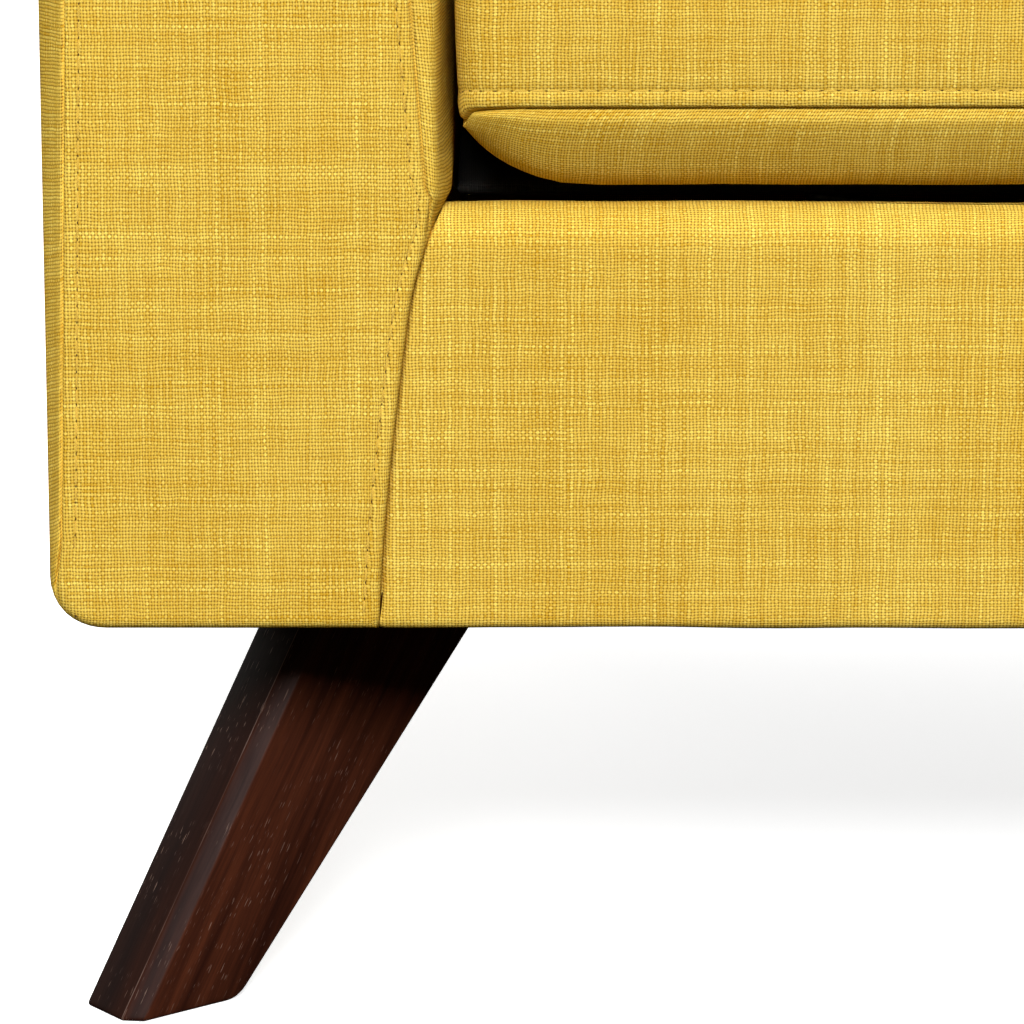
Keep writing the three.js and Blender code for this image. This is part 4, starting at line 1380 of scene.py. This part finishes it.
seat_low, seat_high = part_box("seat_cushion_cover_left")
seat_middle = (np.array(seat_low) + np.array(seat_high)) / 2
seat_size = np.array(seat_high) - np.array(seat_low)
BACK_CUSHION_THICKNESS = 148 * MM
BACK_CUSHION_LENGTH = 508 * MM
REST_GAP = 0.6 * MM
SIDE_PLAY = 0.9 * MM  # a cushion may stand out this far past its solid's sides
SEAT_FORWARD = 2 * MM


def seat_place(points):
    return points + seat_middle - np.array([0, SEAT_FORWARD, 0])


def seat_limits(points):
    points = points.copy()
    points[..., 0] = np.clip(points[..., 0], seat_low.x - SIDE_PLAY, seat_high.x + SIDE_PLAY)
    points[..., 2] = np.maximum(points[..., 2], DECK_TOP + REST_GAP)
    points[..., 1] = np.minimum(points[..., 1], seat_high.y + 0.5 * MM)
    return points


back_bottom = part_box("back_cushion_cover_left")[0].z
back_inset = BACK_THICKNESS + 1.5 * MM + BACK_CUSHION_THICKNESS / 2
slope = np.array([0, math.sin(RAKE), math.cos(RAKE)])
forward = np.array([0, -math.cos(RAKE), math.sin(RAKE)])
back_middle = np.array([seat_middle[0], rear_y(back_bottom, back_inset), back_bottom])
back_middle = back_middle + slope * (BACK_CUSHION_LENGTH / 2 - 12 * MM)


def back_place(points):
    """Stands a lying cushion up on the back's slope: its depth runs up, and its top faces forward."""
    up = points[..., 1:2] * slope
    out = points[..., 2:3] * forward
    side = points[..., 0:1] * np.array([1.0, 0, 0])
    return side + up + out + back_middle


def back_limits(points):
    points = points.copy()
    points[..., 0] = np.clip(points[..., 0], seat_low.x - SIDE_PLAY, seat_high.x + SIDE_PLAY)
    points[..., 2] = np.maximum(points[..., 2], back_bottom)
    rear = rear_y(points[..., 2], BACK_THICKNESS + 0.4 * MM)
    points[..., 1] = np.minimum(points[..., 1], rear)
    return points


def make_cushions():
    width = seat_size[0] + 5 * MM  # the cloth simulation draws each side in again
    seat = Cushion(width, seat_size[1] + 4 * MM, seat_size[2], (30.7 * MM, 28 * MM), (48 * MM, 25 * MM),
                   14 * MM, 7 * MM, (1.8 * MM, 3 * MM))
    back = Cushion(width, BACK_CUSHION_LENGTH, BACK_CUSHION_THICKNESS, (26 * MM, 34 * MM),
                   (60 * MM, 60 * MM), 16 * MM, 10 * MM, (0.6 * MM, 3 * MM))
    kinds = (("seat_cushion", seat, Puff(seat, 4.0, 5 * MM), seat_place, seat_limits, "rear"),
             ("back_cushion", back, Puff(back, 4.0, 7 * MM), back_place, back_limits, "front"))
    for kind, cushion, puff, place, limits, zip_side in kinds:
        for side, mirror, seed in (("left", False, 1.0), ("right", True, 6.0)):
            body = f"{kind}_{side}"
            make_cushion(body, cushion, puff, place, body, limits, zip_side, mirror, seed,
                         [f"{kind}_cover_{side}"])
            make_foam(body, cushion, place, body, mirror, f"{kind}_foam_{side}")


make_cushions()

# ---- Zips ----

TOOTH_PITCH = 2.6 * MM


ZIP_PROFILE = np.array([(-4.6, -0.3), (-4.6, 0.2), (-1.6, 0.5), (-1.2, 0.9), (1.2, 0.9), (1.6, 0.5),
                        (4.6, 0.2), (4.6, -0.3), (-4.6, -0.3)])  # the tape's section, in mm
TOOTH = ((-1.5, 0, 0.45), (-1.5, 0.75, 0.4), (0, 1.0, 0.4), (1.5, 0.75, 0.4), (1.5, 0, 0.45))
TOOTH_LEAN = 0.7 * MM
SLIDER_HALF_WIDTH = 3.4 * MM

# The slider's plates: (place along, half width), as shares of the slider's half length and half width.
NOSE = ((-1.0, 0.55), (-0.9, 0.7), (-0.4, 0.75), (0.2, 0.95), (0.55, 1.0), (0.7, 0.9), (0.75, 0.5))
BRIDGE = tuple((x, 0.28) for x in (-0.75, -0.7, 0.1, 0.15))
PULL = ((-0.5, 0.3), (-0.4, 0.55), (0.1, 0.5), (0.9, 0.62), (1.3, 0.62), (1.42, 0.45), (1.46, 0.2))


def zip_tape(name, floor, half, across, out):
    """A flat tape with a raised rib, from -half to half along x."""
    skin = Skin()
    xs = np.linspace(-half, half, 60)
    rows = np.array([[floor + np.array([x, 0, 0]) + across * a * MM + out * h * MM for x in xs]
                     for a, h in ZIP_PROFILE])
    run = run_length(ZIP_PROFILE) * MM
    skin.grid(rows, np.stack(np.meshgrid(xs, run), axis=-1))
    for end in (0, -1):
        skin.cap(rows[:, end])
    return skin.build(name, [zip_cloth])


def zip_teeth(name, floor, half, across, out):
    """Teeth that lean to each side in turn. TOOTH is (across, out, half width), in mm."""
    skin = Skin()
    for k, x in enumerate(np.arange(-half + 3 * MM, half - 3 * MM, TOOTH_PITCH / 2)):
        lean = TOOTH_LEAN if k % 2 else -TOOTH_LEAN
        centre = floor + np.array([x, 0, 0]) + across * lean + out * 1.0 * MM
        ring = [[centre + across * a * MM + out * h * MM + np.array([way * w * MM, 0, 0]) for way in (-1, 1)]
                for a, h, w in TOOTH]
        ring = np.array(ring + ring[:1])
        skin.grid(ring, np.zeros((6, 2, 2)))
        for end in (0, 1):
            skin.cap(ring[:, end])
    return skin.build(name, [brass_material], smooth=False, weld=1e-6)


def zip_plate(skin, centre, shares, half_length, thick, across, out):
    """A rounded plate whose width changes along x."""
    rows = []
    for share, width in shares:
        w = width * SLIDER_HALF_WIDTH
        corners = [(-w, 0), (-w * 0.9, thick / 2), (w * 0.9, thick / 2), (w, 0), (w * 0.9, -thick / 2),
                   (-w * 0.9, -thick / 2), (-w, 0)]
        x = share * half_length
        rows.append([centre + np.array([x, 0, 0]) + across * a + out * h for a, h in corners])
    rows = np.array(rows)
    skin.grid(rows, np.zeros((len(rows), 7, 2)))
    for end in (0, -1):
        skin.cap(rows[end])


def make_zip(kind, side):
    """Tape and teeth in the cover's opening, and the slider with its pull."""
    zip_name = f"{kind}_cushion_zip_{side}"
    slider_name = f"{kind}_cushion_zip_slider_{side}"
    body = f"{kind}_cushion_{side}"
    low, high = (np.array(v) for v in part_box(zip_name))
    slider_low, slider_high = (np.array(v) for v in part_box(slider_name))
    if kind == "seat":
        out = np.array([0, 1.0, 0])
        across = np.array([0, 0, 1.0])
    else:
        out = np.array([0, 0, -1.0])
        across = np.array([0, 1.0, 0])
    middle = (low + high) / 2
    floor = middle + out * 1.1 * MM
    half = (high[0] - low[0]) / 2 - 8 * MM
    tape = zip_tape(f"{kind}_zip_tape_{side}", floor, half, across, out)
    attach(tape, body, "zip_tape", zip_name)
    teeth = zip_teeth(f"{kind}_zip_teeth_{side}", floor, half, across, out)
    attach(teeth, body, "zip_metal")

    slider_middle = (slider_low + slider_high) / 2
    toward = 1 if slider_middle[0] < middle[0] else -1
    length = toward * (slider_high[0] - slider_low[0]) / 2
    base = slider_middle - out * 0.2 * MM
    slider = Skin()
    plates = ((NOSE, 0.6 * MM, 0.9 * MM), (BRIDGE, 1.3 * MM, 1.0 * MM), (PULL, 1.75 * MM, 0.7 * MM))
    for shares, rise, thick in plates:
        zip_plate(slider, base + out * rise, shares, length, thick, across, out)
    piece = slider.build(f"{kind}_zip_pull_{side}", [brass_material], weld=1e-6)
    attach(piece, f"{kind}_zip_slider_{side}", "zip_metal", slider_name)


for kind in ("seat", "back"):
    for side in ("left", "right"):
        make_zip(kind, side)

# ---- Floor, light and camera ----

FLOOR_REACH = 60.0
BACKDROP_RADIUS = 57.0


def stage_surface(name, points, paint):
    """A part of the studio that the camera sees and that throws no light back on the sofa."""
    skin = Skin()
    skin.grid(points, np.zeros(points.shape[:2] + (2,)))
    surface = skin.build(name, [paint])
    surface.visible_diffuse = False
    surface.visible_glossy = False
    return surface


def make_floor():
    """A pale floor, and far away all round it a tall pale wall, which shades nothing."""
    paint = floor_paint()
    places = np.linspace(-FLOOR_REACH, FLOOR_REACH, 13)
    gx, gy = np.meshgrid(places, places)
    stage_surface("floor", np.stack([gx, gy, np.zeros_like(gx)], axis=-1), paint)
    turns, ups = np.meshgrid(np.linspace(0, 2 * np.pi, 97), np.linspace(-1, FLOOR_REACH, 7))
    wall = np.stack([BACKDROP_RADIUS * np.cos(turns), BACKDROP_RADIUS * np.sin(turns), ups], axis=-1)
    stage_surface("backdrop", wall, paint).visible_shadow = False


def make_light(name, location, target, size, power):
    data = bpy.data.lights.new(name, "AREA")
    data.shape = "RECTANGLE"
    data.size, data.size_y = size
    data.energy = power
    lamp = bpy.data.objects.new(name, data)
    lamp.location = location
    lamp.rotation_euler = (Vector(target) - Vector(location)).to_track_quat("-Z", "Y").to_euler()
    lamp.visible_camera = False
    bpy.context.scene.collection.objects.link(lamp)


SKY_STRENGTH = 0.19
SKY_TINT = (1.0, 0.8, 0.5)
SOFA_MIDDLE = (0, 0, 0.4)


def make_stage():
    make_floor()
    scene = bpy.context.scene
    scene.view_settings.view_transform = "Standard"
    world = bpy.data.worlds.new("studio")
    scene.world = world
    world.use_nodes = True
    tree = world.node_tree
    backdrop = tree.nodes["Background"]
    backdrop.inputs["Strength"].default_value = SKY_STRENGTH
    direction = tree.nodes.new("ShaderNodeTexCoord").outputs["Generated"]
    split = tree.nodes.new("ShaderNodeSeparateXYZ")
    above = tree.nodes.new("ShaderNodeMapRange")
    above.inputs["From Min"].default_value = -0.02
    above.inputs["From Max"].default_value = 0.02
    tree.links.new(direction, split.inputs[0])
    tree.links.new(split.outputs["Z"], above.inputs["Value"])
    warm = tree.nodes.new("ShaderNodeVectorMath")
    warm.operation = "SCALE"
    warm.inputs[0].default_value = SKY_TINT
    tree.links.new(above.outputs[0], warm.inputs["Scale"])
    tree.links.new(warm.outputs[0], backdrop.inputs["Color"])
    make_light("key", (-0.95, -4.6, 3.1), (-0.5, FRONT, 0.3), (1.9, 1.5), 362)
    make_light("overhead", (0, 0.4, 4.6), SOFA_MIDDLE, (5, 4), 80)
    make_light("back_fill", (1.5, 5.5, 2.6), SOFA_MIDDLE, (4, 2.5), 170)
    for side in (-1, 1):
        make_light(f"side_fill_{side}", (5 * side, 4.5, 2.4), SOFA_MIDDLE, (2.5, 2.5), 75)


CAMERA_LENS = 171.9
CAMERA_PLACE = (-OUTER + 165.4 * MM, FRONT - 1.7, 0.62)
CAMERA_DOWN = 13.78  # degrees below level


def make_camera():
    data = bpy.data.cameras.new("camera")
    data.sensor_width = 36
    data.lens = CAMERA_LENS
    camera = bpy.data.objects.new("camera", data)
    camera.location = CAMERA_PLACE
    camera.rotation_euler = (math.radians(90 - CAMERA_DOWN), 0, 0)
    bpy.context.scene.collection.objects.link(camera)
    bpy.context.scene.camera = camera


make_stage()
make_camera()
